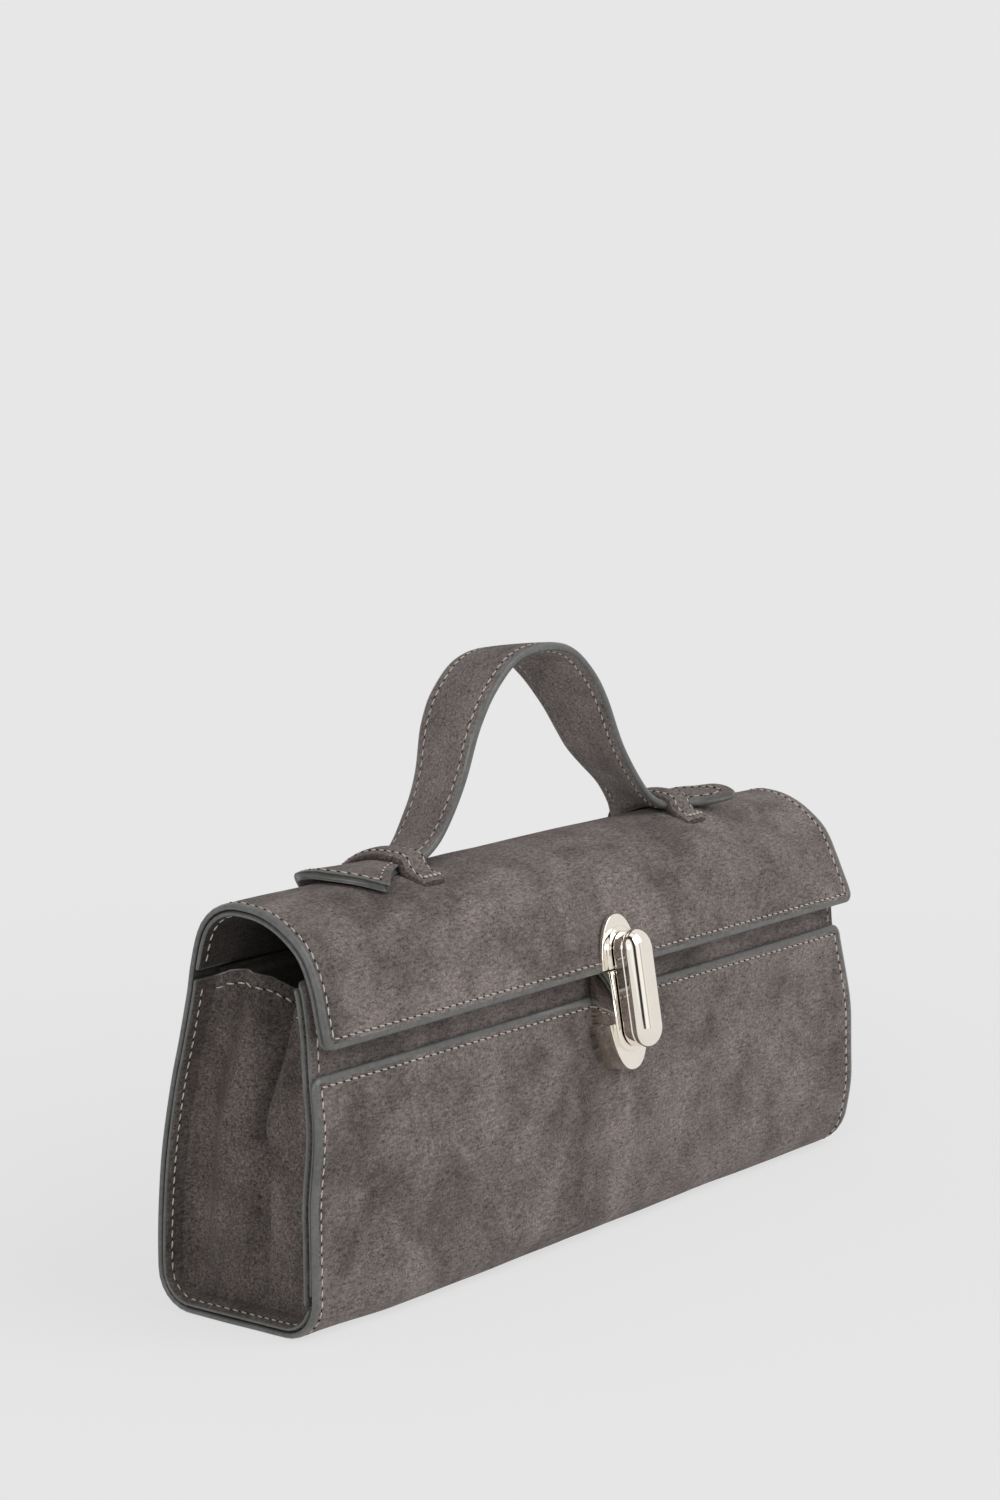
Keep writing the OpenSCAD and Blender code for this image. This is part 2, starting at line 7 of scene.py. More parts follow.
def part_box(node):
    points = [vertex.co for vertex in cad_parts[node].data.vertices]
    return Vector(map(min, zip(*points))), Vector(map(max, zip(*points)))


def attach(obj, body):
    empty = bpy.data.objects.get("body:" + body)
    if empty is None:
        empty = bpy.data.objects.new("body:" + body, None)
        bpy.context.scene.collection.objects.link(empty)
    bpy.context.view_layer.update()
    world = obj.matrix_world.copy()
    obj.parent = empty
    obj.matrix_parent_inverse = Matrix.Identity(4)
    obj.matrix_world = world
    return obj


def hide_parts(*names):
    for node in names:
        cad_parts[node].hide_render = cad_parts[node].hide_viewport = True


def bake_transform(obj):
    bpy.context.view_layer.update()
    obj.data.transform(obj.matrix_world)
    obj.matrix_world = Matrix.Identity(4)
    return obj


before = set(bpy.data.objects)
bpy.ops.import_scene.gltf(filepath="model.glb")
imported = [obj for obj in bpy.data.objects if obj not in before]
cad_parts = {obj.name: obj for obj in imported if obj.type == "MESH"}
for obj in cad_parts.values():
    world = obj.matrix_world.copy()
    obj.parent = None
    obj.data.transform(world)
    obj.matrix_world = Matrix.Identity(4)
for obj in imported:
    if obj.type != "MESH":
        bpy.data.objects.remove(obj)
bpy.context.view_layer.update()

MM = 0.001

# Overall sizes in millimetres, the first two read from the frame
HALF_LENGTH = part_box("body_wrap")[1].x / MM
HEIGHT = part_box("flap_outer")[1].z / MM
HALF_DEPTH = 31.5
CORNER_RADIUS = 12
STRAP_MIDDLE = 4.0

# Thicknesses of the layers in millimetres, and the glue between two of them
WRAP = 2.0
PANEL = 1.4
LINING = 0.8
FLAP_OUTER = 2.0
FLAP_LINING = 1.7
GUSSET = 1.4
GLUE = 0.05
FLANGE_WIDTH = 8.0

# Shares of half the depth and of the height, along the side of the bag
FLAP_SHARES = [
    (-1.067, 0.700), (-1.050, 0.720), (-1.002, 0.770), (-0.955, 0.8215), (-0.880, 0.871),
    (-0.790, 0.911), (-0.654, 0.9446), (-0.479, 0.974), (-0.270, 0.9935), (-0.022, 1.0),
    (0.124, 0.9965), (0.286, 0.979), (0.416, 0.946), (0.498, 0.900), (0.562, 0.832)]
BACK_SHARES = [
    (0.581, 0.8017), (0.606, 0.767), (0.711, 0.655), (0.810, 0.557),
    (0.886, 0.458), (0.944, 0.360), (0.981, 0.260), (1.0, 0.162)]
FRONT_SHARES = [
    (1.0, 0.207), (0.984, 0.372), (0.952, 0.496), (0.908, 0.620),
    (0.883, 0.723), (0.832, 0.813), (0.775, 0.848)]
APRON_TOP_SHARE = 0.620
CURVE_STEPS = 12
CORNER_STEPS = 14
BASE_STEPS = 16


def mix(a, b, t):
    return a + (b - a) * t


def ease(t):
    t = min(1.0, max(0.0, t))
    return t * t * (3 - 2 * t)


def above(value, start, length):
    """0 up to start, eased to 1 at a length over it."""
    return ease((value - start) / length)


def below(value, start, length):
    """0 down to start, eased to 1 at a length under it."""
    return ease((start - value) / length)


def spread(a, b, step=1.5):
    """Even places from a to b, at least a step apart."""
    count = max(1, int(abs(b - a) / step))
    return [mix(a, b, k / count) for k in range(count + 1)]


def curve_point(a, b, c, d, t):
    """A point between b and c on a smooth curve through all four."""
    return tuple(
        0.5 * (2 * b[k] + (c[k] - a[k]) * t + (2 * a[k] - 5 * b[k] + 4 * c[k] - d[k]) * t * t
               + (3 * b[k] - a[k] - 3 * c[k] + d[k]) * t ** 3)
        for k in range(len(b)))


def along_points(points, at):
    """A point of a smooth curve, at a place counted in points."""
    last = len(points) - 1
    i = min(int(at), last - 1)
    return curve_point(points[max(i - 1, 0)], points[i], points[i + 1], points[min(i + 2, last)], at - i)


def smooth(points, steps=CURVE_STEPS):
    last = len(points) - 1
    return [along_points(points, i + k / steps) for i in range(last) for k in range(steps)] + [points[-1]]


class Profile:
    """A line of points (y, z) with lengths along it and outward normals."""

    def __init__(self, points):
        self.points = [Vector(p) for p in points]
        self.lengths = [0.0]
        for a, b in zip(self.points, self.points[1:]):
            self.lengths.append(self.lengths[-1] + (b - a).length)
        self.total = self.lengths[-1]
        self.normals = []
        last = len(self.points) - 1
        for i in range(len(self.points)):
            way = self.points[min(i + 1, last)] - self.points[max(i - 1, 0)]
            self.normals.append(Vector((-way.y, way.x)).normalized())

    def _place(self, s):
        low, high = 0, len(self.lengths) - 1
        while high - low > 1:
            middle = (low + high) // 2
            if self.lengths[middle] <= s:
                low = middle
            else:
                high = middle
        span = self.lengths[high] - self.lengths[low]
        return low, high, (s - self.lengths[low]) / span if span else 0.0

    def normal(self, s):
        low, high, t = self._place(s)
        return self.normals[low].lerp(self.normals[high], t).normalized()

    def at(self, s, depth=0.0):
        low, high, t = self._place(s)
        return self.points[low].lerp(self.points[high], t) - self.normal(s) * depth

    def spot(self, x, s, depth=0.0):
        """The point and the normal in space, for an x and a length along the line."""
        p = self.at(s, depth)
        n = self.normal(s)
        return Vector((x, p.x, p.y)), Vector((0, n.x, n.y))

    def where(self, index, value, first=True):
        """The length at which coordinate index passes value."""
        hits = []
        for i in range(len(self.points) - 1):
            a, b = self.points[i][index], self.points[i + 1][index]
            if (a - value) * (b - value) <= 0 and a != b:
                hits.append(mix(self.lengths[i], self.lengths[i + 1], (value - a) / (b - a)))
        return hits[0] if first else hits[-1]


def side_points(shares, sign=1):
    return [(sign * y * HALF_DEPTH, z * HEIGHT) for y, z in shares]


def corner_points(sign):
    out = []
    for k in range(1, CORNER_STEPS + 1):
        a = math.radians(90 * k / CORNER_STEPS)
        out.append((sign * (HALF_DEPTH - CORNER_RADIUS + CORNER_RADIUS * math.cos(a)),
                    CORNER_RADIUS - CORNER_RADIUS * math.sin(a)))
    return out


# The bag's side, from the flap's front edge over the top, down the back, under the base and up the
# front. Places along it are lengths whose names end in S.
BASE_HALF = HALF_DEPTH - CORNER_RADIUS
upper_line = smooth(side_points(FLAP_SHARES) + side_points(BACK_SHARES) + [(HALF_DEPTH, CORNER_RADIUS)])
front_line = smooth([(-HALF_DEPTH, CORNER_RADIUS)] + side_points(FRONT_SHARES, -1))
base_line = [(mix(1, -1, k / BASE_STEPS) * BASE_HALF, 0.0) for k in range(1, BASE_STEPS)]
front_corner = list(reversed(corner_points(-1)))
around = Profile(upper_line + corner_points(1) + base_line + front_corner + front_line)

HINGE_S = around.lengths[CURVE_STEPS * len(FLAP_SHARES)]
BASE_BACK_S = around.where(0, BASE_HALF, first=False)
BASE_FRONT_S = around.where(0, -BASE_HALF, first=False)
APRON_TOP_S = around.where(1, APRON_TOP_SHARE * HEIGHT, first=False)
PANEL_TOP_S = around.total
DOME_S = around.where(0, STRAP_MIDDLE)


# Materials
def grey(value):
    return (value, value, value, 1)


def srgb(r, g, b):
    def linear(c):
        c = c / 255
        return c / 12.92 if c <= 0.04045 else ((c + 0.055) / 1.055) ** 2.4
    return (linear(r), linear(g), linear(b), 1)


def feed(tree, node, sockets):
    """Sets a node's sockets to values, or links them to the outputs of other nodes."""
    for key, value in sockets.items():
        if isinstance(value, bpy.types.NodeSocket):
            tree.links.new(value, node.inputs[key])
        else:
            node.inputs[key].default_value = value


def add(tree, kind, sockets=None, **values):
    found = tree.nodes.new(kind)
    for key, value in values.items():
        setattr(found, key, value)
    feed(tree, found, sockets or {})
    return found


def material(name):
    """A material, its node tree, its shader and the place on the object."""
    found = bpy.data.materials.new(name)
    found.use_nodes = True
    tree = found.node_tree
    tree.nodes.clear()
    shader = add(tree, "ShaderNodeBsdfPrincipled")
    add(tree, "ShaderNodeOutputMaterial", {"Surface": shader.outputs[0]})
    return found, tree, shader, add(tree, "ShaderNodeTexCoord").outputs["Object"]


def noise_node(tree, vector, scale, detail, roughness=0.5, distortion=0.0):
    return add(tree, "ShaderNodeTexNoise", {
        "Vector": vector, "Scale": scale, "Detail": detail, "Roughness": roughness,
        "Distortion": distortion}).outputs["Fac"]


def stretched(tree, vector, scale):
    return add(tree, "ShaderNodeMapping", {"Vector": vector, "Scale": scale}).outputs["Vector"]


def ramp(tree, value, stops):
    found = add(tree, "ShaderNodeValToRGB", {"Fac": value})
    elements = found.color_ramp.elements
    while len(elements) < len(stops):
        elements.new(0.5)
    for element, (place, colour) in zip(elements, stops):
        element.position = place
        element.color = colour
    return found.outputs["Color"]


def blend_colour(tree, factor, a, b, kind="MIX"):
    return add(tree, "ShaderNodeMix", {0: factor, 6: a, 7: b}, data_type="RGBA", blend_type=kind).outputs[2]


def bump(tree, height, distance, strength, under=None):
    sockets = {"Height": height, "Distance": distance, "Strength": strength}
    if under is not None:
        sockets["Normal"] = under
    return add(tree, "ShaderNodeBump", sockets).outputs[0]


# The suede's noises, the stretch of two of them, their relief, and the shares of their blends
GRAIN = {"scale": 1600, "detail": 2, "roughness": 0.75}
SPECKS = {"scale": 950, "detail": 3, "roughness": 0.8}
PATCHES = {"scale": 46, "detail": 3, "roughness": 0.55, "distortion": 0.8}
CLOUDS = {"scale": 95, "detail": 2, "distortion": 0.5}
STREAKS = {"scale": 1.0, "detail": 3, "roughness": 0.6, "distortion": 0.5}
RIBS = {"scale": 1.0, "detail": 2, "roughness": 0.6}
STREAK_STRETCH = (26, 60, 14)
RIB_STRETCH = (420, 1500, 1500)
GRAIN_RELIEF = {"distance": 0.0004, "strength": 0.9}
SPECK_RELIEF = {"distance": 0.0004, "strength": 0.8}
RIB_RELIEF = {"distance": 0.0003, "strength": 0.7}
PEPPER_SHARE = 0.45
RIB_SHARE = 0.25
CLOUD_SHARE = 0.35
STREAK_SHARE = 0.4
LIGHT_MOTTLE_SHARE = 0.75
SUEDE_FINISH = {
    "Roughness": 0.95, "Specular IOR Level": 0.1, "Sheen Weight": 0.1, "Sheen Roughness": 0.55,
    "Sheen Tint": (0.75, 0.70, 0.67, 1)}


def suede(name, dark, middle, light, mottle):
    """Fine nap in three tones under larger clouds, mottle being how dark these get."""
    found, tree, shader, place = material(name)
    kinds = (GRAIN, SPECKS, PATCHES, CLOUDS)
    grain, specks, patches, clouds = [noise_node(tree, place, **kind) for kind in kinds]
    streaks = noise_node(tree, stretched(tree, place, STREAK_STRETCH), **STREAKS)
    ribs = noise_node(tree, stretched(tree, place, RIB_STRETCH), **RIBS)
    fine = ramp(tree, grain, [(0.36, dark), (0.48, middle), (0.56, middle), (0.70, light)])
    pepper = ramp(tree, specks, [(0.385, dark), (0.46, middle), (0.56, middle), (0.68, light)])
    ribbed = ramp(tree, ribs, [(0.34, dark), (0.47, middle), (0.66, light)])
    base = blend_colour(tree, RIB_SHARE, blend_colour(tree, PEPPER_SHARE, fine, pepper), ribbed)
    shade = blend_colour(tree, STREAK_SHARE, blend_colour(tree, CLOUD_SHARE, patches, clouds), streaks)
    lightest = grey(1 + mottle * LIGHT_MOTTLE_SHARE)
    tone = ramp(tree, shade, [(0.38, grey(1 - mottle)), (0.5, grey(1.0)), (0.61, lightest)])
    nap = bump(tree, specks, **SPECK_RELIEF)
    rough = bump(tree, ribs, under=nap, **RIB_RELIEF)
    feed(tree, shader, {
        "Base Color": blend_colour(tree, 1.0, base, tone, "MULTIPLY"),
        "Normal": bump(tree, grain, under=rough, **GRAIN_RELIEF), **SUEDE_FINISH})
    return found


def speckled(name, settings, stops, roughness, relief=None, stretch=None):
    """One noise over the colour and, where a relief is given, over the surface."""
    found, tree, shader, place = material(name)
    speckle = noise_node(tree, stretched(tree, place, stretch) if stretch else place, **settings)
    feed(tree, shader, {"Base Color": ramp(tree, speckle, stops), "Roughness": roughness})
    if relief:
        feed(tree, shader, {"Normal": bump(tree, speckle, **relief)})
    return found


def painted_edge():
    found, tree, shader, place = material("painted_edge")
    speckle = noise_node(tree, place, scale=700, detail=2)
    clouds = noise_node(tree, place, scale=90, detail=2)
    paint = [(0.3, srgb(88, 89, 87)), (0.6, srgb(101, 102, 100)), (0.85, srgb(112, 113, 111))]
    tone = ramp(tree, clouds, [(0.35, grey(0.88)), (0.65, grey(1.06))])
    feed(tree, shader, {
        "Base Color": blend_colour(tree, 1.0, ramp(tree, speckle, paint), tone, "MULTIPLY"),
        "Roughness": 0.36, "Specular IOR Level": 0.45,
        "Normal": bump(tree, speckle, distance=0.00008, strength=0.4)})
    return found


HAZE_SHARE = 0.97


def metal(name, colour, roughness, wear):
    """wear is how much rougher the metal gets in places."""
    found, tree, shader, place = material(name)
    haze = noise_node(tree, place, scale=240, detail=3)
    dull = tuple(c * HAZE_SHARE for c in colour[:3]) + (1,)
    feed(tree, shader, {
        "Base Color": ramp(tree, haze, [(0.3, dull), (0.7, colour)]), "Metallic": 1.0,
        "Roughness": ramp(tree, haze, [(0.3, grey(roughness)), (0.7, grey(roughness + wear))])})
    return found


SUEDE = suede("suede", srgb(40, 35, 33), srgb(116, 107, 104), srgb(168, 158, 154), mottle=0.43)
HANDLE_SUEDE = suede("handle_suede", srgb(40, 35, 33), srgb(119, 110, 107), srgb(168, 158, 154), mottle=0.28)
# Painted shade: the gussets' suede is a darker copy of the wrap's suede, standing in for the shade on the
# bag's ends
SHADED_GUSSET_SUEDE = suede("gusset_suede", srgb(30, 26, 24), srgb(91, 83, 80), srgb(146, 136, 131), mottle=0.44)
# Painted shade: a darker suede for the rolled rims of the keeper loops, standing in for the shadow under each
# roll
SHADED_ROLL_SUEDE = suede("roll_suede_painted_shade", srgb(24, 21, 20), srgb(78, 71, 68), srgb(120, 112, 107), mottle=0.2)
LINING_SUEDE = suede("lining_suede", srgb(30, 27, 25), srgb(58, 53, 50), srgb(92, 85, 81), mottle=0.14)
EDGE = painted_edge()
THREAD = speckled("thread", {"scale": 3500, "detail": 1},
                  [(0.35, srgb(150, 144, 135)), (0.65, srgb(216, 210, 200))], roughness=0.6,
                  relief={"distance": 0.0001, "strength": 0.6})
# Needle holes: near-black blobs between the stitches, real holes whose darkness is painted shade
HOLE_SHADE = speckled("needle_hole_painted_shade", {"scale": 2000, "detail": 1},
                [(0.3, srgb(20, 18, 17)), (0.7, srgb(38, 35, 33))], roughness=1.0)
NICKEL = metal("polished_nickel", srgb(250, 243, 232), roughness=0.045, wear=0.02)
PLAIN_METAL = metal("plain_metal", srgb(198, 194, 188), roughness=0.28, wear=0.12)
BOARD = speckled("board", {"scale": 1.0, "detail": 3, "roughness": 0.6},
                 [(0.3, srgb(96, 82, 66)), (0.7, srgb(142, 124, 102))], roughness=0.85,
                 relief={"distance": 0.0001, "strength": 0.5}, stretch=(300, 900, 900))

# Face, rim and back of each kind of sheet
WRAP_LOOK = (SUEDE, EDGE, LINING_SUEDE)
LINING_LOOK = (LINING_SUEDE, EDGE, LINING_SUEDE)
INSIDE_LOOK = (LINING_SUEDE, LINING_SUEDE, LINING_SUEDE)
# The gussets' web and flanges take the suede with painted shade
WEB_LOOK = (SHADED_GUSSET_SUEDE, EDGE, LINING_SUEDE)
FLANGE_LOOK = (SHADED_GUSSET_SUEDE, EDGE, SHADED_GUSSET_SUEDE)
STRAP_LOOK = (HANDLE_SUEDE, EDGE, HANDLE_SUEDE)
# The keeper loops' rims take the darker suede with painted shade
LOOP_LOOK = (HANDLE_SUEDE, SHADED_ROLL_SUEDE, HANDLE_SUEDE)


# Meshes
def mesh_object(name, points, faces, materials, indices=None, flat=False):
    """Points are in millimetres."""
    mesh = bpy.data.meshes.new(name)
    mesh.from_pydata([Vector(p) * MM for p in points], [], faces)
    for m in materials:
        mesh.materials.append(m)
    if indices:
        mesh.polygons.foreach_set("material_index", indices)
    if not flat:
        mesh.polygons.foreach_set("use_smooth", [True] * len(mesh.polygons))
    mesh.update()
    made = bpy.data.objects.new(name, mesh)
    bpy.context.scene.collection.objects.link(made)
    return made


ROOM_FOR_FINE = 0.1
SAME_PLACE = 1e-6


def graded(start, end, step, fine=()):
    """Places from start to end, with the given distances kept close to both ends."""
    length = end - start
    fine = [f for f in fine if f < length / 2 - ROOM_FOR_FINE]
    first = fine[-1] if fine else 0.0
    count = max(1, round((length - 2 * first) / step))
    inner = [first + (length - 2 * first) * k / count for k in range(count + 1)]
    places = [0.0] + list(fine[:-1]) + inner + [length - f for f in reversed(fine[:-1])] + [length]
    unique = []
    for p in places:
        if not unique or p - unique[-1] > SAME_PLACE:
            unique.append(p)
    return [start + p for p in unique]


# How a sheet is formed near its free edges, in millimetres from the edge
EDGE_PLACES = (0.2, 0.55, 1.0, 1.2, 1.5, 1.9, 2.3, 2.7, 3.1, 3.6, 4.4, 6.0, 8.0)
SHEET_STEP = 3.0
PAINTED = 1.0
THIN_BORDER = 0.3
CREASE_OFFSET = 0.2
CREASE_WIDTH = 0.16
CREASE_DEPTH = 0.14
STITCH_INSET = 2.3
GROOVE_DEPTH = 0.3
GROOVE_WIDTH = 0.42
SHOULDER = 0.9
SHOULDER_SINK = 0.34
BACK_SINK = 0.2
RIM_STEPS = 5
RIM_BULGE_SHARE = 0.35


def corner_cut(radius, distance):
    """How far a round corner draws the edge in, at a distance from the end."""
    if distance >= radius:
        return 0.0
    return radius - math.sqrt(max(0.0, radius ** 2 - (radius - distance) ** 2))


def closed_sheet(name, rows, columns, place, thickness, materials, bulge=RIM_BULGE_SHARE, groove=None,
                 painted=THIN_BORDER, wobble=None):
    """A sheet over a grid with a round rim. place(i, j) gives the outer point, the outward normal
    and the distance to the nearest free edge. painted is the width of the painted border."""
    outer, inner, info = [], [], []
    for i in range(rows):
        for j in range(columns):
            p, n, e = place(i, j)
            lift = wobble(p) if wobble else 0.0
            worn = (1 - e / SHOULDER) ** 2 if e < SHOULDER else 0.0
            sink = SHOULDER_SINK * worn
            if painted >= PAINTED:
                sink += CREASE_DEPTH * math.exp(-((e - PAINTED - CREASE_OFFSET) / CREASE_WIDTH) ** 2)
            if groove:
                sink += GROOVE_DEPTH * math.exp(-((e - groove) / GROOVE_WIDTH) ** 2)
            outer.append(p - n * (sink - lift))
            inner.append(p - n * (thickness - BACK_SINK * worn - lift))
            info.append((p, n, e))
    points = outer + inner
    total = len(outer)

    def at(i, j):
        return i * columns + j

    faces, indices = [], []
    for i in range(rows - 1):
        for j in range(columns - 1):
            quad = (at(i, j), at(i, j + 1), at(i + 1, j + 1), at(i + 1, j))
            farthest = max(info[k][2] for k in quad)
            faces += [quad, tuple(total + k for k in reversed(quad))]
            indices += [1 if farthest <= painted else 0, 2]
    border = ([at(0, j) for j in range(columns)] + [at(i, columns - 1) for i in range(1, rows)]
              + [at(rows - 1, j) for j in range(columns - 2, -1, -1)]
              + [at(i, 0) for i in range(rows - 2, 0, -1)])
    count = len(border)
    rings = [border]
    for step in range(1, RIM_STEPS):
        turn = math.pi * step / RIM_STEPS
        for k, index in enumerate(border):
            ahead = info[border[(k + 1) % count]][0] - info[border[k - 1]][0]
            out = ahead.cross(info[index][1]).normalized()
            a, b = outer[index], inner[index]
            middle = (a + b) / 2
            points.append(middle + (a - b) / 2 * math.cos(turn) + out * bulge * thickness * math.sin(turn))
        rings.append(range(len(points) - count, len(points)))
    rings.append([total + k for k in border])
    for a, b in zip(rings, rings[1:]):
        for k in range(count):
            following = (k + 1) % count
            faces.append((a[k], b[k], b[following], a[following]))
            indices.append(1)
    return mesh_object(name, points, faces, materials, indices)


def profile_sheet(name, s_from, s_to, depth, thickness, x_from, x_to, materials, radius_start=0.0,
                  radius_end=0.0, groove=None, wobble=None, painted=THIN_BORDER, rise=None, right_border=1.0):
    """A leather layer that follows the bag's side, from one x to another. Both ends can have round
    corners, rise(s) lifts it off, and right_border is how many times wider its right border is."""
    s_places = graded(s_from, s_to, SHEET_STEP, EDGE_PLACES)
    x_places = graded(x_from, x_to, SHEET_STEP, EDGE_PLACES)
    middle = (x_from + x_to) / 2
    half = (x_to - x_from) / 2

    def place(i, j):
        s = s_places[i]
        cut = max(corner_cut(radius_start, s - s_from), corner_cut(radius_end, s_to - s))
        x = middle + (x_places[j] - middle) * (half - cut) / half
        p, n = around.spot(x, s, depth)
        side = (half - cut - abs(x - middle)) / (right_border if x > middle else 1.0)
        return p + n * (rise(s) if rise else 0.0), n, max(0.0, min(side, s - s_from, s_to - s))

    return closed_sheet(name, len(s_places), len(x_places), place, thickness, materials,
                        groove=groove, wobble=wobble, painted=painted)


# Stitches
HOLE_LENGTH = 1.0
HOLE_RADIUS = 0.25
HOLE_SINK = 0.04
BAR_STRANDS = 3
BAR_RADIUS = 0.3
BAR_SPACING_TIMES = 1.3
BAR_LIFT = 0.1


class Stitches:
    """Collects stitches in millimetres and makes one mesh of their threads and needle holes, the holes dark
    with painted shade.
    """

    RINGS = ((-1.0, 0.0), (-0.8, 0.62), (-0.35, 1.0), (0.35, 1.0), (0.8, 0.62), (1.0, 0.0))
    SIDES = 6

    def __init__(self):
        self.points, self.faces, self.indices = [], [], []

    def _blob(self, centre, along, normal, length, radius, index):
        across = along.cross(normal).normalized()
        rows = []
        for place, share in self.RINGS:
            middle = centre + along * (place * length / 2)
            if share == 0:
                rows.append([len(self.points)])
                self.points.append(middle)
                continue
            row = []
            for k in range(self.SIDES):
                a = 2 * math.pi * k / self.SIDES
                row.append(len(self.points))
                self.points.append(middle + (across * math.cos(a) + normal * math.sin(a)) * radius * share)
            rows.append(row)
        for a, b in zip(rows, rows[1:]):
            for k in range(self.SIDES):
                following = (k + 1) % self.SIDES
                if len(a) == 1:
                    face = (a[0], b[k], b[following])
                elif len(b) == 1:
                    face = (a[k], b[0], a[following])
                else:
                    face = (a[k], b[k], b[following], a[following])
                self.faces.append(face)
                self.indices.append(index)

    def run(self, line, pitch=3.15, length=2.35, radius=0.26, slant=0.13):
        """A row of stitches and needle holes, the holes dark with painted shade, along a list of (point,
        normal).
        """
        lengths = [0.0]
        for (a, _), (b, _) in zip(line, line[1:]):
            lengths.append(lengths[-1] + (b - a).length)
        count = max(1, int(lengths[-1] / pitch))
        spacing = lengths[-1] / count
        at = 0
        for k in range(count):
            centre_at = spacing * (k + 0.5)
            while at < len(lengths) - 2 and lengths[at + 1] < centre_at:
                at += 1
            span = lengths[at + 1] - lengths[at]
            t = (centre_at - lengths[at]) / span if span else 0
            p = line[at][0].lerp(line[at + 1][0], t)
            n = line[at][1].lerp(line[at + 1][1], t).normalized()
            along = (line[at + 1][0] - line[at][0]).normalized()
            across = along.cross(n).normalized()
            way = (along + across * slant).normalized()
            self._blob(p, way, n, length * spacing / pitch, radius, 0)
            self._blob(p + along * spacing / 2 - n * HOLE_SINK, along, n, HOLE_LENGTH, HOLE_RADIUS, 1)

    def bar(self, a, b, n):
        """A short, dense bar of thread from a to b."""
        along = (b - a).normalized()
        across = along.cross(n).normalized()
        for k in range(BAR_STRANDS):
            shift = across * (k - (BAR_STRANDS - 1) / 2) * BAR_RADIUS * BAR_SPACING_TIMES
            self._blob((a + b) / 2 + shift + n * BAR_LIFT, along, n, (b - a).length, BAR_RADIUS, 0)

    def make(self, name):
        return mesh_object(name, self.points, self.faces, [THREAD, HOLE_SHADE], self.indices)


def seam(x_and_s, depth, facing=1):
    """A line for stitches on the bag's side, facing out (1) or in (-1)."""
    spots = [around.spot(x, s, depth) for x, s in x_and_s]
    return [(p, n * facing) for p, n in spots]


# The soft bag is a little out of shape. An eased stretch is given as its start and its length.
WAVE_LENGTH = 38.0
WAVE_HEIGHT = 0.35
RIPPLE_HEIGHT = 0.12
RIPPLE_TIMES = 2.7
RIPPLE_SHIFT = Vector((5.0, 3.0, 1.0))
FRONT_STRETCH = (0.0, 24.0)
LEFT_STRETCH = (95.0, 35.0)
LEFT_DRAW = 3.2
LEFT_DRAW_HEIGHTS = (64.0, 28.0)
RIGHT_STRETCH = (78.0, 57.0)
RIGHT_TOP = 84.0
RIGHT_SHIFT = 2.6
RIGHT_SHIFT_HEIGHTS = (86.0, 16.0)
RIGHT_SHIFT_DEPTHS = (14.0, 30.0)
RIGHT_DROP = 2.0
RIGHT_DROP_HEIGHTS = (96.0, 20.0)
RIGHT_BELLY = 3.4
BELLY_UPPER_HEIGHTS = (80.0, 36.0)
BELLY_LOWER_HEIGHTS = (0.0, 26.0)


def undulation(p):
    """A gentle unevenness of the suede, in millimetres."""
    q = Vector(p) / WAVE_LENGTH
    return WAVE_HEIGHT * noise.noise(q) + RIPPLE_HEIGHT * noise.noise(q * RIPPLE_TIMES + RIPPLE_SHIFT)


def settled(p):
    """Where a point of the soft bag comes to rest, in millimetres."""
    x, y, z = p
    left = above(-x, *LEFT_STRETCH)
    if left and y < 0:
        y += LEFT_DRAW * left * below(z, *LEFT_DRAW_HEIGHTS) * below(y, *FRONT_STRETCH)
    right = above(x, *RIGHT_STRETCH)
    if right and z > RIGHT_TOP:
        y += RIGHT_SHIFT * right * above(z, *RIGHT_SHIFT_HEIGHTS) * below(y, *RIGHT_SHIFT_DEPTHS)
        z -= RIGHT_DROP * right * above(z, *RIGHT_DROP_HEIGHTS)
    if right and y < 0:
        y -= (RIGHT_BELLY * right * right * below(z, *BELLY_UPPER_HEIGHTS) * above(z, *BELLY_LOWER_HEIGHTS)
              * below(y, *FRONT_STRETCH))
    return Vector((x, y, z))


def fit(piece, body, slot, *nodes):
    """Gives a piece its body and hides the CAD nodes that it replaces. slot is not used."""
    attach(piece, body)
    if nodes:
        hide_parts(*nodes)


def settle(piece):
    for vertex in piece.data.vertices:
        vertex.co = settled(vertex.co / MM) * MM
    piece.data.update()


def fit_soft(piece, body, slot, *nodes):
    settle(piece)
    fit(piece, body, slot, *nodes)


# The wrap is one sheet from the flap's front edge round to the apron's top edge.
FLAP_CORNER = 2.5
APRON_CORNER = 3.0
RIGHT_BORDER = 1.5
WRAP_STITCH_SINK = 0.2
SEAM_X = HALF_LENGTH - STITCH_INSET
SEAM_STEP = 2.2


def across_hinge(piece):
    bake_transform(piece)


def add_wrap():
    wrap = profile_sheet("wrap", 0.0, APRON_TOP_S, 0.0, WRAP, -HALF_LENGTH, HALF_LENGTH, WRAP_LOOK,
                         radius_start=FLAP_CORNER, radius_end=APRON_CORNER, groove=STITCH_INSET,
                         wobble=undulation, painted=PAINTED, right_border=RIGHT_BORDER)
    threads = Stitches()
    right_x = HALF_LENGTH - STITCH_INSET * RIGHT_BORDER
    ends = (STITCH_INSET, APRON_TOP_S - STITCH_INSET)
    runs = [[(x, s) for x in spread(-SEAM_X, right_x, SEAM_STEP)] for s in ends]
    runs += [[(x, s) for s in spread(*ends)] for x in (-SEAM_X, right_x)]
    for run in runs:
        threads.run([(p + n * (undulation(p) - WRAP_STITCH_SINK), n) for p, n in seam(run, 0)])
    stitching = threads.make("wrap_stitching")
    for piece in (wrap, stitching):
        settle(piece)
        across_hinge(piece)
    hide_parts("body_wrap", "flap_outer")


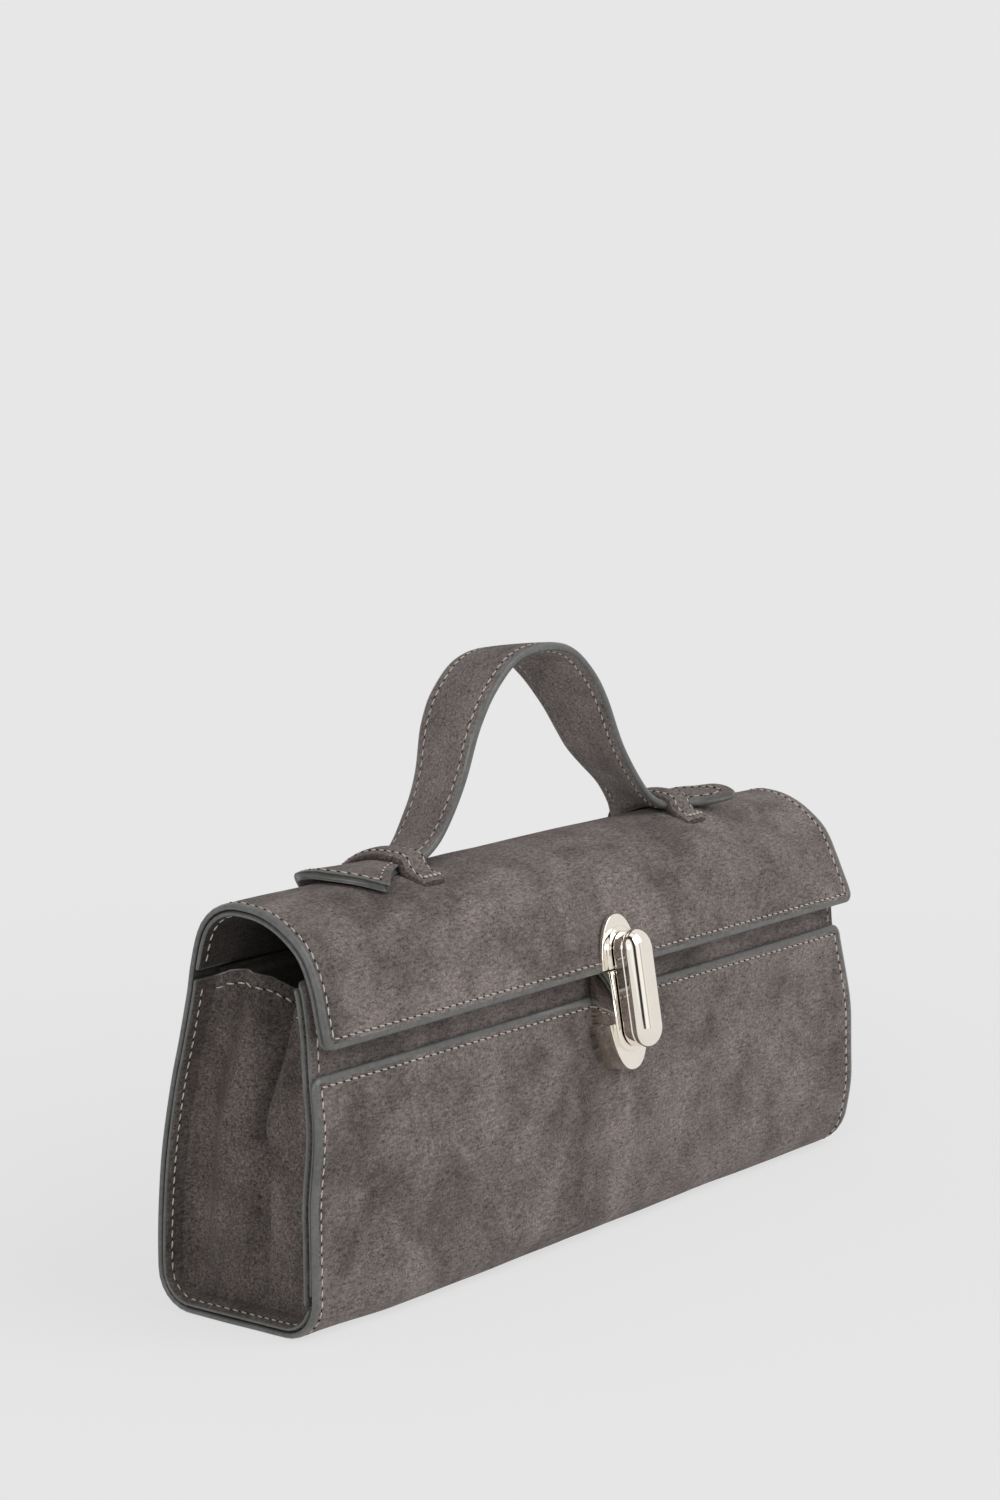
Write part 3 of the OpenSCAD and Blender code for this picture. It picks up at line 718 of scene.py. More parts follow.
# The flap's lining ends before the hinge and shows beside the wrap on the right
FLAP_LINING_SETBACK = 0.1
FLAP_LINING_SHORT = 4.5
FLAP_LINING_PROUD = 0.9
FLAP_SEAM_SHORT = 6
FLAP_SEAM_DEPTH = FLAP_OUTER + FLAP_LINING + 0.1


def add_flap_lining():
    layer = profile_sheet("flap_inner_layer", FLAP_LINING_SETBACK, HINGE_S - FLAP_LINING_SHORT,
                          FLAP_OUTER + GLUE, FLAP_LINING, -HALF_LENGTH, HALF_LENGTH + FLAP_LINING_PROUD,
                          LINING_LOOK, radius_start=FLAP_CORNER, wobble=undulation)
    fit_soft(layer, "flap", "lining", "flap_lining")
    threads = Stitches()
    runs = [[(sign * SEAM_X, s) for s in spread(STITCH_INSET, HINGE_S - FLAP_SEAM_SHORT)] for sign in (-1, 1)]
    runs.append([(x, STITCH_INSET) for x in spread(-SEAM_X, SEAM_X, SEAM_STEP)])
    for run in runs:
        threads.run(seam(run, FLAP_SEAM_DEPTH, -1))
    fit_soft(threads.make("flap_inner_stitching"), "flap", "lining")


# The upper front panel behind the apron, and the lining of the compartment
FRONT_LOW = 14.0
PANEL_SETBACK = 0.6
PANEL_CORNER = 1.5
PANEL_DEPTH = WRAP + GLUE
PANEL_SEAM_X = HALF_LENGTH - 3.6
PANEL_SEAM_END = 1.0
BAR_DROP = 0.8
BAR_START = Vector((0, 0.3, 0))
BAR_END = Vector((0, 2.6, 0))
LINING_DEPTH = WRAP + PANEL + 0.1
LINING_TOP_DROP = 1.0
LINING_X = HALF_LENGTH - FLANGE_WIDTH - 2.3
BACK_TOP_S = HINGE_S - 2.6
BOARD_COVER = 3.2
BOARD_COVER_GAP = 0.15
BOARD_COVER_TIMES = 2.5


def over_the_board(s):
    """How far the lining's back top edge comes out over the top of the back board."""
    covered = ease((BACK_TOP_S + BOARD_COVER - s) / BOARD_COVER * BOARD_COVER_TIMES)
    return (LINING_DEPTH - WRAP - BOARD_COVER_GAP) * covered


def add_front():
    panel = profile_sheet("upper_front_panel", around.where(1, FRONT_LOW, first=False), PANEL_TOP_S,
                          PANEL_DEPTH, PANEL, -HALF_LENGTH + PANEL_SETBACK, HALF_LENGTH - PANEL_SETBACK,
                          WRAP_LOOK, radius_end=PANEL_CORNER)
    lining = profile_sheet("compartment_lining", BACK_TOP_S, PANEL_TOP_S - LINING_TOP_DROP, LINING_DEPTH,
                           LINING, -LINING_X, LINING_X, INSIDE_LOOK, rise=over_the_board)
    fit_soft(panel, "body", "suede", "front_panel", "front_board")
    fit_soft(lining, "body", "lining", "lining")
    threads = Stitches()
    for sign in (-1, 1):
        x = sign * PANEL_SEAM_X
        side = spread(APRON_TOP_S + PANEL_SEAM_END, PANEL_TOP_S - PANEL_SEAM_END)
        threads.run(seam([(x, s) for s in side], PANEL_DEPTH))
        corner, _ = around.spot(x, PANEL_TOP_S - BAR_DROP, WRAP)
        threads.bar(corner + BAR_START, corner + BAR_END, Vector((0, 0, 1)))
    fit_soft(threads.make("panel_stitching"), "body", "suede")


# Gussets
SIDE_STEP = 1.0
LEAST_STEEPNESS = 0.35


def side_table(s_from, s_to):
    """Height, y and steepness of the body's side, from one length to another."""
    rows = []
    for s in spread(s_from, s_to, SIDE_STEP):
        at = around.at(s)
        rows.append((at.y, at.x, abs(around.normal(s).x)))
    return rows


BACK_TABLE = side_table(HINGE_S - 6.0, BASE_BACK_S)
FRONT_TABLE = side_table(BASE_FRONT_S, PANEL_TOP_S)


def inner_y(z, front, depth):
    """The y of the body's side at height z, at a depth behind the outer face."""
    table = FRONT_TABLE if front else BACK_TABLE
    for (z0, y0, n0), (z1, y1, n1) in zip(table, table[1:]):
        if (z0 - z) * (z1 - z) <= 0 and z0 != z1:
            t = (z - z0) / (z1 - z0)
            return mix(y0, y1, t) + (depth if front else -depth) / max(LEAST_STEEPNESS, mix(n0, n1, t))
    return table[-1][1]


def web_row(height, *folds):
    return height, [(0.0, 0.0), *folds, (1.0, 0.0)]


# Sections through the web at a height: pairs of the share of the way from back to front and the
# distance behind the flanges. They hold the hollow by the back flange, a ridge, the slope, the
# fold, the crest in front of it and the flat beside the front flange.
WEB_SECTIONS = [
    web_row(3.6, (0.12, 0.6), (0.24, 0.4), (0.40, 0.7), (0.53, 1.0), (0.60, 0.4), (0.80, 0.7)),
    web_row(21.0, (0.12, 2.8), (0.22, 0.5), (0.39, 1.6), (0.52, 5.0), (0.60, 0.0), (0.82, 2.2)),
    web_row(46.0, (0.12, 3.6), (0.23, 0.2), (0.38, 2.6), (0.525, 9.0), (0.60, 0.0), (0.83, 2.4)),
    web_row(56.0, (0.12, 3.8), (0.24, 0.0), (0.37, 3.4), (0.475, 11.0), (0.555, 0.0), (0.82, 1.8)),
    web_row(64.0, (0.12, 4.0), (0.27, 0.3), (0.40, 5.4), (0.49, 13.5), (0.58, 0.2), (0.80, 0.4)),
    web_row(76.0, (0.14, 3.8), (0.29, 1.8), (0.42, 8.5), (0.53, 17.5), (0.65, 1.0), (0.80, 0.0)),
    web_row(88.0, (0.16, 4.2), (0.29, 3.4), (0.44, 13.0), (0.57, 25.0), (0.715, 1.4), (0.86, 0.0)),
    web_row(98.0, (0.17, 4.0), (0.29, 4.6), (0.44, 15.0), (0.60, 28.0), (0.77, 2.0), (0.90, 0.0))]
HEM_LINE = [(0.0, 96.5), (0.10, 98.6), (0.24, 99.3), (0.36, 97.0), (0.46, 92.5), (0.58, 87.5), (0.70, 90.5),
            (0.78, 92.8), (0.90, 93.2), (1.0, 92.6)]
WEB_LOW = 3.6
WEB_FIRST_HEIGHT = 90.0
WEB_ROUNDS = 3
WEB_THICKNESS = 1.2
WEB_BACK_GAP = 0.3
WEB_FRONT_GAP = 0.2
WEB_DEPTH = 50
WEB_FILLET = 2.5
WEB_FILLET_REACH = 3.0
WEB_SOFTNESS = 0.5
WEB_SOFT_WAVES = (14.0, 22.0)
WEB_SOFT_SEED = 3.0
WEB_SOFT_RISE = 8
FOLD_STEPS = 8
WEB_ROWS = 52
WEB_COLUMNS = 7 * FOLD_STEPS
HEM_STEP = 1.6
HEM_SEAM_ROWS = 2


def web_section(z, at):
    """Share of the way and distance of the web, at a height and a place counted in folds."""
    last = len(WEB_SECTIONS) - 1
    k = 0
    while k < last - 1 and WEB_SECTIONS[k + 1][0] < z:
        k += 1
    low, high = WEB_SECTIONS[k], WEB_SECTIONS[k + 1]
    t = min(1.0, max(0.0, (z - low[0]) / (high[0] - low[0])))
    rows = [along_points(WEB_SECTIONS[min(max(n, 0), last)][1], at) for n in (k - 1, k, k + 1, k + 2)]
    q, d = curve_point(*rows, t)
    return q, max(0.0, d)


def hem_height(q):
    for (q0, z0), (q1, z1) in zip(HEM_LINE, HEM_LINE[1:]):
        if q <= q1:
            return mix(z0, z1, (q - q0) / (q1 - q0))
    return HEM_LINE[-1][1]


def web_point(i, j):
    """A point of the right web. Its height and its share of the way are found in a few rounds."""
    at = j / FOLD_STEPS
    z = WEB_FIRST_HEIGHT
    for _ in range(WEB_ROUNDS):
        q, depth = web_section(z, at)
        z = mix(WEB_LOW, hem_height(q), i / WEB_ROWS)
    q, depth = web_section(z, at)
    y = mix(inner_y(z, False, WRAP + WEB_BACK_GAP), inner_y(z, True, LINING_DEPTH + WEB_FRONT_GAP), q)
    border = min(q, 1 - q)
    fillet = WEB_FILLET * (1 - ease(border * WEB_DEPTH / WEB_FILLET_REACH))
    wave = Vector((y / WEB_SOFT_WAVES[0], z / WEB_SOFT_WAVES[1], WEB_SOFT_SEED))
    soft = WEB_SOFTNESS * noise.noise(wave) * ease(border * WEB_SOFT_RISE)
    return Vector((HALF_LENGTH - FLANGE_WIDTH - depth + fillet + soft, y, z))


def make_web(name, sign):
    """The web and the line of the stitches under its hem."""
    grid = []
    for i in range(WEB_ROWS + 1):
        row = [web_point(i, j) for j in range(WEB_COLUMNS + 1)]
        grid.append([Vector((sign * p.x, p.y, p.z)) for p in row])

    def normal(i, j):
        along = grid[min(i + 1, WEB_ROWS)][j] - grid[max(i - 1, 0)][j]
        across = grid[i][min(j + 1, WEB_COLUMNS)] - grid[i][max(j - 1, 0)]
        n = across.cross(along).normalized()
        return -n if n.x * sign < 0 else n

    def place(i, j):
        return grid[i][j], normal(i, j), (WEB_ROWS - i) * HEM_STEP

    made = closed_sheet(name, WEB_ROWS + 1, WEB_COLUMNS + 1, place, WEB_THICKNESS, WEB_LOOK,
                        painted=0.0, groove=HEM_STEP * HEM_SEAM_ROWS)
    row = WEB_ROWS - HEM_SEAM_ROWS
    return made, [(grid[row][j], normal(row, j)) for j in range(2, WEB_COLUMNS - 1)]


FLANGE_TUCK = 1.0
FLANGE_PROUD = {-1: 0.2, 1: 1.3}
FLANGE_ROUND = 2.0
FLANGE_TOP_ROUND = 1.0
BACK_FLANGE_DEPTH = WRAP + 0.1
FRONT_FLANGE_DEPTH = WRAP + PANEL + 0.15
BACK_FLANGE_S = HINGE_S - 0.5
FRONT_FLANGE_TOP_S = around.where(1, 101.5, first=False)
NOTCH_S = around.where(1, 9.0, first=False)
NOTCH_GAP = 0.8
FLANGE_SEAM_END = 2
FRONT_SEAM_START = 3
BACK_SEAM_DEPTH = WRAP + GUSSET + 0.1
FRONT_SEAM_DEPTH = WRAP + PANEL + GUSSET + 0.15


def add_gusset(side, sign):
    web, hem = make_web("gusset_web_" + side, sign)
    fit_soft(web, "body", "gusset_suede", "gusset_" + side, "gusset_lining_" + side)
    inner_x = HALF_LENGTH - FLANGE_WIDTH - FLANGE_TUCK
    low, high = sorted((sign * (HALF_LENGTH + FLANGE_PROUD[sign]), sign * inner_x))
    back = profile_sheet("gusset_flange_back_" + side, BACK_FLANGE_S, NOTCH_S, BACK_FLANGE_DEPTH, GUSSET,
                         low, high, FLANGE_LOOK, radius_end=FLANGE_ROUND)
    front = profile_sheet("gusset_flange_front_" + side, NOTCH_S + NOTCH_GAP, FRONT_FLANGE_TOP_S,
                          FRONT_FLANGE_DEPTH, GUSSET, low, high, FLANGE_LOOK,
                          radius_start=FLANGE_ROUND, radius_end=FLANGE_TOP_ROUND)
    threads = Stitches()
    for s_from, s_to, depth in (
            (BACK_FLANGE_S + FLANGE_SEAM_END, NOTCH_S - FLANGE_SEAM_END, BACK_SEAM_DEPTH),
            (NOTCH_S + FRONT_SEAM_START, FRONT_FLANGE_TOP_S - FLANGE_SEAM_END, FRONT_SEAM_DEPTH)):
        threads.run(seam([(sign * SEAM_X, s) for s in spread(s_from, s_to)], depth, -1))
    threads.run(hem)
    for piece in (back, front, threads.make("gusset_stitching_" + side)):
        fit_soft(piece, "body", "gusset_suede")


# The handle's strap on the arch, and the top of the flap under it
STRAP_WIDTH = 21.0
STRAP_THICKNESS = 2.8
STRAP_CROWN = 0.35
STRAP_GAP = 0.35
STRAP_INSET = 2.3
STRAP_BORDER = 0.55
STRAP_BULGE_SHARE = 0.3
STRAP_STEPS = (2.0, 1.6)
STRAP_END_PLACES = (0.5, 1.2)
STRAP_STITCH_SINK = 0.25
STRAP_SEAM_END = 1.5
HANDLE_RISE = 60.5
LOOP_DISTANCE = 69.6
LOOP_WIDTH = 10.0
STRAP_END_X = LOOP_DISTANCE - LOOP_WIDTH / 2 + 3.5
FOOT_STEP = 2.2
FOOT_GAP = 0.75
ARCH_SHARES = [(0.858, 0.086), (0.747, 0.174), (0.582, 0.402), (0.455, 0.666), (0.345, 0.826), (0.187, 0.959)]


def arch_profile():
    foot = [(STRAP_END_X, HEIGHT + STRAP_GAP + STRAP_THICKNESS),
            (STRAP_END_X - FOOT_STEP, HEIGHT + FOOT_GAP + STRAP_THICKNESS)]
    half = foot + [(x * LOOP_DISTANCE, HEIGHT + z * HANDLE_RISE) for x, z in ARCH_SHARES]
    points = [(-x, z) for x, z in half] + [(0.0, HEIGHT + HANDLE_RISE)] + list(reversed(half))
    return Profile(smooth(points))


arch = arch_profile()

# How the strap is twisted. The stretches are heights over the flap, or distances from the middle.
LEFT_SIDE_STRETCH = (12.0, 24.0)
LOOP_HOLD = 1.0
LOOP_FREE = 11.0
LEFT_TWIST = 7.5
LEFT_TWIST_HEIGHTS = (48.0, 40.0)
RIGHT_TWIST = 6.0
RIGHT_TWIST_HEIGHTS = (25.0, 18.0)
ARCH_SHIFT = 3.4
ARCH_SHIFT_HEIGHTS = (4.0, 34.0)
LEFT_BACK_SHIFT = 3.6
LEFT_BACK_HEIGHTS = (38.0, 24.0)
RIGHT_BACK_SHIFT = 6.4
RIGHT_BACK_HEIGHTS = (18.0, 30.0)
ARCH_LEAN = 2.6
ARCH_LEAN_HEIGHTS = (34.0, 24.0)
FOOT_STRETCH = (50.0, 18.0)


def twisted(p):
    """The strap is a little twisted: its back edge runs nearer the middle at the left foot, away
    from it at the right foot, and to the left and lower at the top."""
    back = (p.y - STRAP_MIDDLE) / STRAP_WIDTH + 0.5
    high = p.z - HEIGHT
    free = below(abs(p.x), STRAP_END_X - LOOP_HOLD, LOOP_FREE)
    left = below(p.x, *LEFT_SIDE_STRETCH)
    right = 1 - left
    foot = (left * LEFT_TWIST * below(high, *LEFT_TWIST_HEIGHTS)
            + right * RIGHT_TWIST * below(high, *RIGHT_TWIST_HEIGHTS))
    shift = back * foot * free - left * ARCH_SHIFT * above(high, *ARCH_SHIFT_HEIGHTS)
    shift -= back * left * LEFT_BACK_SHIFT * above(high, *LEFT_BACK_HEIGHTS)
    shift -= back * right * RIGHT_BACK_SHIFT * above(high, *RIGHT_BACK_HEIGHTS)
    p.x += shift
    p.z -= ARCH_LEAN * back * above(high, *ARCH_LEAN_HEIGHTS)
    return p


def dome_drop(y):
    """How far the flap's top lies below its highest point, y being in front of the strap's middle."""
    p = around.at(around.where(0, STRAP_MIDDLE - y))
    return max(0.0, HEIGHT - p.y)


def dome_point(x, s, rise):
    """A point above the flap, s being the distance in front of the strap's middle."""
    return around.spot(x, DOME_S - s, -rise)


def strap_point(s, y, rise=0.0):
    """A point over the strap's outer face and the normal there. The strap has a slight crown on
    the arch, which goes as it comes down on the flap."""
    p = arch.at(s)
    n = arch.normal(s)
    foot = above(abs(p.x), *FOOT_STRETCH)
    crown = STRAP_CROWN * (1 - (2 * y / STRAP_WIDTH) ** 2) * (1 - foot)
    out = Vector((n.x, 0, n.y))
    at = Vector((p.x, STRAP_MIDDLE - y, p.y)) + out * (crown + rise)
    at.z -= foot * dome_drop(y)
    return twisted(at), out


def up_the_handle(piece):
    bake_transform(piece)


def add_strap():
    half = STRAP_WIDTH / 2
    s_places = graded(0.0, arch.total, STRAP_STEPS[0], STRAP_END_PLACES)
    y_places = graded(-half, half, STRAP_STEPS[1], EDGE_PLACES)

    def place(i, j):
        return (*strap_point(s_places[i], y_places[j]), half - abs(y_places[j]))

    strap = closed_sheet("handle_strap", len(s_places), len(y_places), place, STRAP_THICKNESS, STRAP_LOOK,
                         groove=STRAP_INSET, painted=STRAP_BORDER, bulge=STRAP_BULGE_SHARE)
    threads = Stitches()
    for y in (STRAP_INSET - half, half - STRAP_INSET):
        for rise, facing in ((-STRAP_STITCH_SINK, 1), (-STRAP_THICKNESS, -1)):
            line = [strap_point(s, y, rise) for s in spread(STRAP_SEAM_END, arch.total - STRAP_SEAM_END)]
            threads.run([(p, n * facing) for p, n in line])
    for piece in (strap, threads.make("handle_stitching")):
        up_the_handle(piece)
    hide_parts("handle_grip_outer_ply", "handle_grip_inner_ply",
                "handle_leg_left", "handle_leg_right")


# The strap's flared ends. Where the two differ, a size has one value for each sign.
LOOP_SKEW = {-1: 3.5, 1: 0.0}
TAB_LENGTH = {-1: 28.5, 1: 14.5}
TAB_NECK = {sign: LOOP_DISTANCE + LOOP_WIDTH / 2 - LOOP_SKEW[sign] for sign in (-1, 1)}
TAB_TUCK = 1.2
TAB_HALF = 20.0
TAB_ROUND = 1.4
TAB_BULGE_SHARE = 0.34
TAB_EASE_SHARE = 0.35
TAB_BOW = {-1: 11.0, 1: 4.0}
TAB_CURL = {-1: 0.1, 1: 6.0}
TAB_TILT = {-1: (1.0, 8.0), 1: (1.6, 12.0)}
TAB_CREST = -7.0
TAB_RISE = 0.5
TAB_SKEW = {-1: 0.9, 1: 0.1}
TAB_SKEW_START = 4.0
TAB_STEP = 1.6
TAB_STEP_SHARE = 0.09
TAB_PLACES = EDGE_PLACES[:11]
TAB_SEAM_START = 1.0
TAB_SEAM_CORNER = 2.0


def tab_half_width(t):
    return mix(STRAP_WIDTH / 2, TAB_HALF, ease(t) * TAB_EASE_SHARE + t * (1 - TAB_EASE_SHARE))


def tab_point(x, s, sign):
    """A point on the tab's top, x being the distance from the bag's middle. The tab's front
    corner and its middle curl up from the flap."""
    t = max(0.0, (x - TAB_NECK[sign]) / TAB_LENGTH[sign])
    bow = TAB_BOW[sign] * t * (s / TAB_HALF) ** 2
    skew = TAB_SKEW[sign] * max(0.0, -TAB_SKEW_START - s) * ease(t * 2)
    height, width = TAB_TILT[sign]
    curl = TAB_CURL[sign] * ease(s / TAB_HALF) + height * math.exp(-((s - TAB_CREST) / width) ** 2)
    lift = STRAP_GAP + TAB_RISE * ease(t) + curl * t ** 2
    return dome_point(sign * (x - bow - skew), s, lift + STRAP_THICKNESS)


def add_tab(side, sign):
    neck = TAB_NECK[sign]
    end = neck + TAB_LENGTH[sign]
    x_places = graded(LOOP_DISTANCE - LOOP_WIDTH / 2 + TAB_TUCK, end, TAB_STEP, TAB_PLACES)
    shares = graded(-1.0, 1.0, TAB_STEP_SHARE, tuple(e / TAB_HALF for e in TAB_PLACES))

    def half_at(x):
        return tab_half_width(max(0.0, (x - neck) / (end - neck)))

    def place(i, j):
        x = x_places[i]
        half = half_at(x) - corner_cut(TAB_ROUND, end - x)
        s = shares[j] * half
        p, n = tab_point(x, s, sign)
        return p, n, max(0.0, min(half - abs(s), end - x))

    tab = closed_sheet("handle_end_" + side, len(x_places), len(shares), place, STRAP_THICKNESS, STRAP_LOOK,
                       groove=STRAP_INSET, painted=STRAP_BORDER, bulge=TAB_BULGE_SHARE)
    side_x = spread(neck + TAB_SEAM_START, end - STRAP_INSET - TAB_SEAM_CORNER)
    corner = half_at(end) - STRAP_INSET - TAB_SEAM_CORNER
    run = [tab_point(x, half_at(x) - STRAP_INSET, sign) for x in side_x]
    run += [tab_point(end - STRAP_INSET, s, sign) for s in spread(corner, -corner)]
    run += [tab_point(x, STRAP_INSET - half_at(x), sign) for x in reversed(side_x)]
    threads = Stitches()
    threads.run(run)
    fit_soft(tab, "tab_" + side, "suede", "handle_tab_" + side)
    fit_soft(threads.make("handle_end_stitching_" + side), "tab_" + side, "suede")


# Keeper loops
LOOP_THICKNESS = 2.6
LOOP_CROWN = 1.2
LOOP_CROWN_POWER = 2.5
LOOP_TOP = STRAP_THICKNESS + 0.7 + LOOP_THICKNESS
LOOP_NARROWING_SHARE = 0.10
LOOP_NARROWING_LENGTH = 6.0
LOOP_BULGE_SHARE = 0.5
LOOP_STEPS = (1.1, 1.2)
LOOP_END_PLACES = (0.3, 0.8)
LOOP_RIM_PLACES = (0.25, 0.7, 1.2, 1.7, 2.2, 2.8)
LOOP_CURVE_STEPS = 5
LOOP_INSET = 1.6
LOOP_STITCH_SINK = 0.15
LOOP_SEAM_END = 1.5
LOOP_SEAM_STEP = 1.0
FOOT_SEAM_DISTANCE = 17.9
FOOT_SEAM_REACH = 4.0
FOOT_SEAM_RISE = 1.9
# Distances past the strap's edge and heights over the flap, from a foot towards the middle
LOOP_SIDE = [(8.8, 1.5), (6.5, 2.0), (4.4, 2.3), (3.0, 2.9), (2.1, 4.0), (1.0, LOOP_TOP - 0.5),
             (-1.0, LOOP_TOP + 0.1), (-4.0, LOOP_TOP + 0.2)]
LOOP_PEAK = LOOP_TOP + 0.25


def loop_profile():
    """The outer line of a loop, from its front foot over the strap to its back foot."""
    side = [(STRAP_WIDTH / 2 + past, height) for past, height in LOOP_SIDE]
    line = side + [(0.0, LOOP_PEAK)] + [(-s, h) for s, h in reversed(side)]
    return Profile([dome_point(0, s, h)[0].yz for s, h in smooth(line, LOOP_CURVE_STEPS)])


def loop_x(sign, share):
    """The middle of the loop, share being the way from its front foot to its back foot."""
    return sign * (LOOP_DISTANCE - LOOP_SKEW[sign] * (1 - share))


def add_loop(side, sign):
    line = loop_profile()
    total = line.total
    half = LOOP_WIDTH / 2
    s_places = graded(0.0, total, LOOP_STEPS[0], LOOP_END_PLACES)
    x_places = graded(-half, half, LOOP_STEPS[1], LOOP_RIM_PLACES)

    def point(x, s, sink=0.0):
        p, n = line.spot(loop_x(sign, s / total) + x, s)
        return p - n * (LOOP_CROWN * (abs(x) / half) ** LOOP_CROWN_POWER + sink), n

    def place(i, j):
        s = s_places[i]
        narrow = 1 - LOOP_NARROWING_SHARE * (1 - ease(min(s, total - s) / LOOP_NARROWING_LENGTH))
        x = x_places[j] * narrow
        return (*point(x, s), min(half * narrow - abs(x), s, total - s))

    loop = closed_sheet("sewn_keeper_" + side, len(s_places), len(x_places), place, LOOP_THICKNESS, LOOP_LOOK,
                        groove=LOOP_INSET, painted=0.0, bulge=LOOP_BULGE_SHARE)
    threads = Stitches()
    sewn = spread(LOOP_SEAM_END, total - LOOP_SEAM_END, LOOP_SEAM_STEP)
    for x in (LOOP_INSET - half, half - LOOP_INSET):
        threads.run([point(x, s, LOOP_STITCH_SINK) for s in sewn], pitch=2.6, length=1.9, radius=0.24)
    for s, share in ((FOOT_SEAM_DISTANCE, 0.0), (-FOOT_SEAM_DISTANCE, 1.0)):
        ends = [dome_point(loop_x(sign, share) + x, s, FOOT_SEAM_RISE)
                for x in (-FOOT_SEAM_REACH, FOOT_SEAM_REACH)]
        threads.run(ends, pitch=2.0, length=1.7, radius=0.34, slant=0.35)
    fit_soft(loop, "flap", "suede", "keeper_loop_" + side)
    fit_soft(threads.make("keeper_stitching_" + side), "flap", "suede")


# Turn lock, in a frame with its origin in the middle of the flap's front edge
LEAN = math.radians(9.6)
LOCK_ORIGIN = Vector((0, around.points[0].x, around.points[0].y))
LOCK_UP = Vector((0, math.sin(LEAN), math.cos(LEAN)))
LOCK_OUT = Vector((0, -math.cos(LEAN), math.sin(LEAN)))
OVAL_LENGTH = 47.5
OVAL_WIDTH = 20.0
OVAL_REACH = 16.0
OVAL_MIDDLE = OVAL_REACH - OVAL_LENGTH / 2
OVAL_BOTTOM = OVAL_MIDDLE - OVAL_LENGTH / 2
OVAL_POWER = 2.3
OVAL_STEPS = 96
OVAL_SPARE = 1
ROUND_STEPS = 5
PLATE = 1.2
PLATE_ROUND = 0.3
PLATE_WALL = 0.05
PAD_RISE = 1.4
PAD_SINK = 0.2
PAD_WIDTH = 15.0
PAD_ROUND = 1.1
PAD_STEPS = 28
BLOCK_HEIGHT = 15.0
BLOCK_BACK = -8.0
BLOCK_WALL = -3.0
KNOB_LENGTH = 36.0
KNOB_WIDTH = 12.5
KNOB_EDGE = 3.0
KNOB_DOME = 2.2
KNOB_GAP = 3.6
KNOB_WALL = 1.3
# Heights over the boss's end and over the knob's back, each with how far the outline is drawn in
BOSS_LEVELS = ((0.0, 0.5), (0.3, 0.2), (0.42, 0.2))
BACK_LEVELS = ((-0.22, 0.2), (-0.1, 0.2), (0.0, 0.6), (0.1, 0.6), (0.4, 0.0), (0.52, 0.0), (KNOB_WALL, 0.0))
KNOB_STEPS = 40
CROWN_STEPS = 22
CROWN_ANGLE = 88
BOSS_GAP = 0.35
EDGE_CLEARANCE = 0.6
KNOB_MIDDLE = -EDGE_CLEARANCE - KNOB_WIDTH / 2
SAME_POINT = 1e-4
FRONT_SEARCH = 160
FRONT_DEEPEST = -12.0
FRONT_SINK = 0.15
APRON_BELOW_TOP = 0.5


def lock_point(u, v, w):
    return LOCK_ORIGIN + Vector((u, 0, 0)) + LOCK_UP * v + LOCK_OUT * w


def clipped(points, level, keep):
    """Cuts a convex outline at a height and keeps the part above (1) or below (-1)."""
    out = []
    for k, (x, y) in enumerate(points):
        x2, y2 = points[(k + 1) % len(points)]
        inside = (y - level) * keep >= 0
        if inside:
            out.append((x, y))
        if inside != ((y2 - level) * keep >= 0):
            out.append((mix(x, x2, (level - y) / (y2 - y)), level))
    kept = []
    for p in out:
        if not kept or math.dist(p, kept[-1]) > SAME_POINT:
            kept.append(p)
    if math.dist(kept[0], kept[-1]) < SAME_POINT:
        kept.pop()
    return kept


def oval(low, high):
    """The part of the oval between two heights, anticlockwise."""
    def rounded(c):
        return math.copysign(abs(c) ** (2 / OVAL_POWER), c)
    out = []
    for k in range(OVAL_STEPS):
        a = 2 * math.pi * k / OVAL_STEPS
        out.append((rounded(math.cos(a)) * OVAL_WIDTH / 2,
                    OVAL_MIDDLE + rounded(math.sin(a)) * OVAL_LENGTH / 2))
    return clipped(clipped(out, low, 1), high, -1)


def pill(length, width, middle, steps):
    out = []
    for end, start in ((1, 0), (-1, 180)):
        for k in range(steps + 1):
            a = math.radians(start + 180 * k / steps)
            out.append((width / 2 * math.cos(a),
                        middle + end * (length - width) / 2 + width / 2 * math.sin(a)))
    return out


def inward(points, distance):
    """A convex outline drawn in by a distance."""
    out = []
    count = len(points)
    for k in range(count):
        a, b, c = Vector(points[k - 1]), Vector(points[k]), Vector(points[(k + 1) % count])
        n1 = Vector((a.y - b.y, b.x - a.x)).normalized()
        n2 = Vector((b.y - c.y, c.x - b.x)).normalized()
        n = (n1 + n2).normalized()
        out.append(tuple(b + n * distance / max(0.5, n.dot(n1))))
    return out


def lofted(name, outline, levels, back=None):
    """A metal piece with rings of an outline at (height, inset) levels, closed at both ends.
    back(u, v) gives the heights of the first ring instead."""
    points, faces = [], []
    count = len(outline)
    for k, (w, inset) in enumerate(levels):
        for u, v in inward(outline, inset):
            points.append(lock_point(u, v, back(u, v) if back and k == 0 else w))
    for k in range(len(levels) - 1):
        for i in range(count):
            j = (i + 1) % count
            faces.append((k * count + i, k * count + j, (k + 1) * count + j, (k + 1) * count + i))
    faces.append(tuple(range(count - 1, -1, -1)))
    faces.append(tuple(range(len(points) - count, len(points))))
    made = mesh_object(name, points, faces, [NICKEL])
    for end in (-2, -1):
        made.data.polygons[end].use_smooth = False
    return made


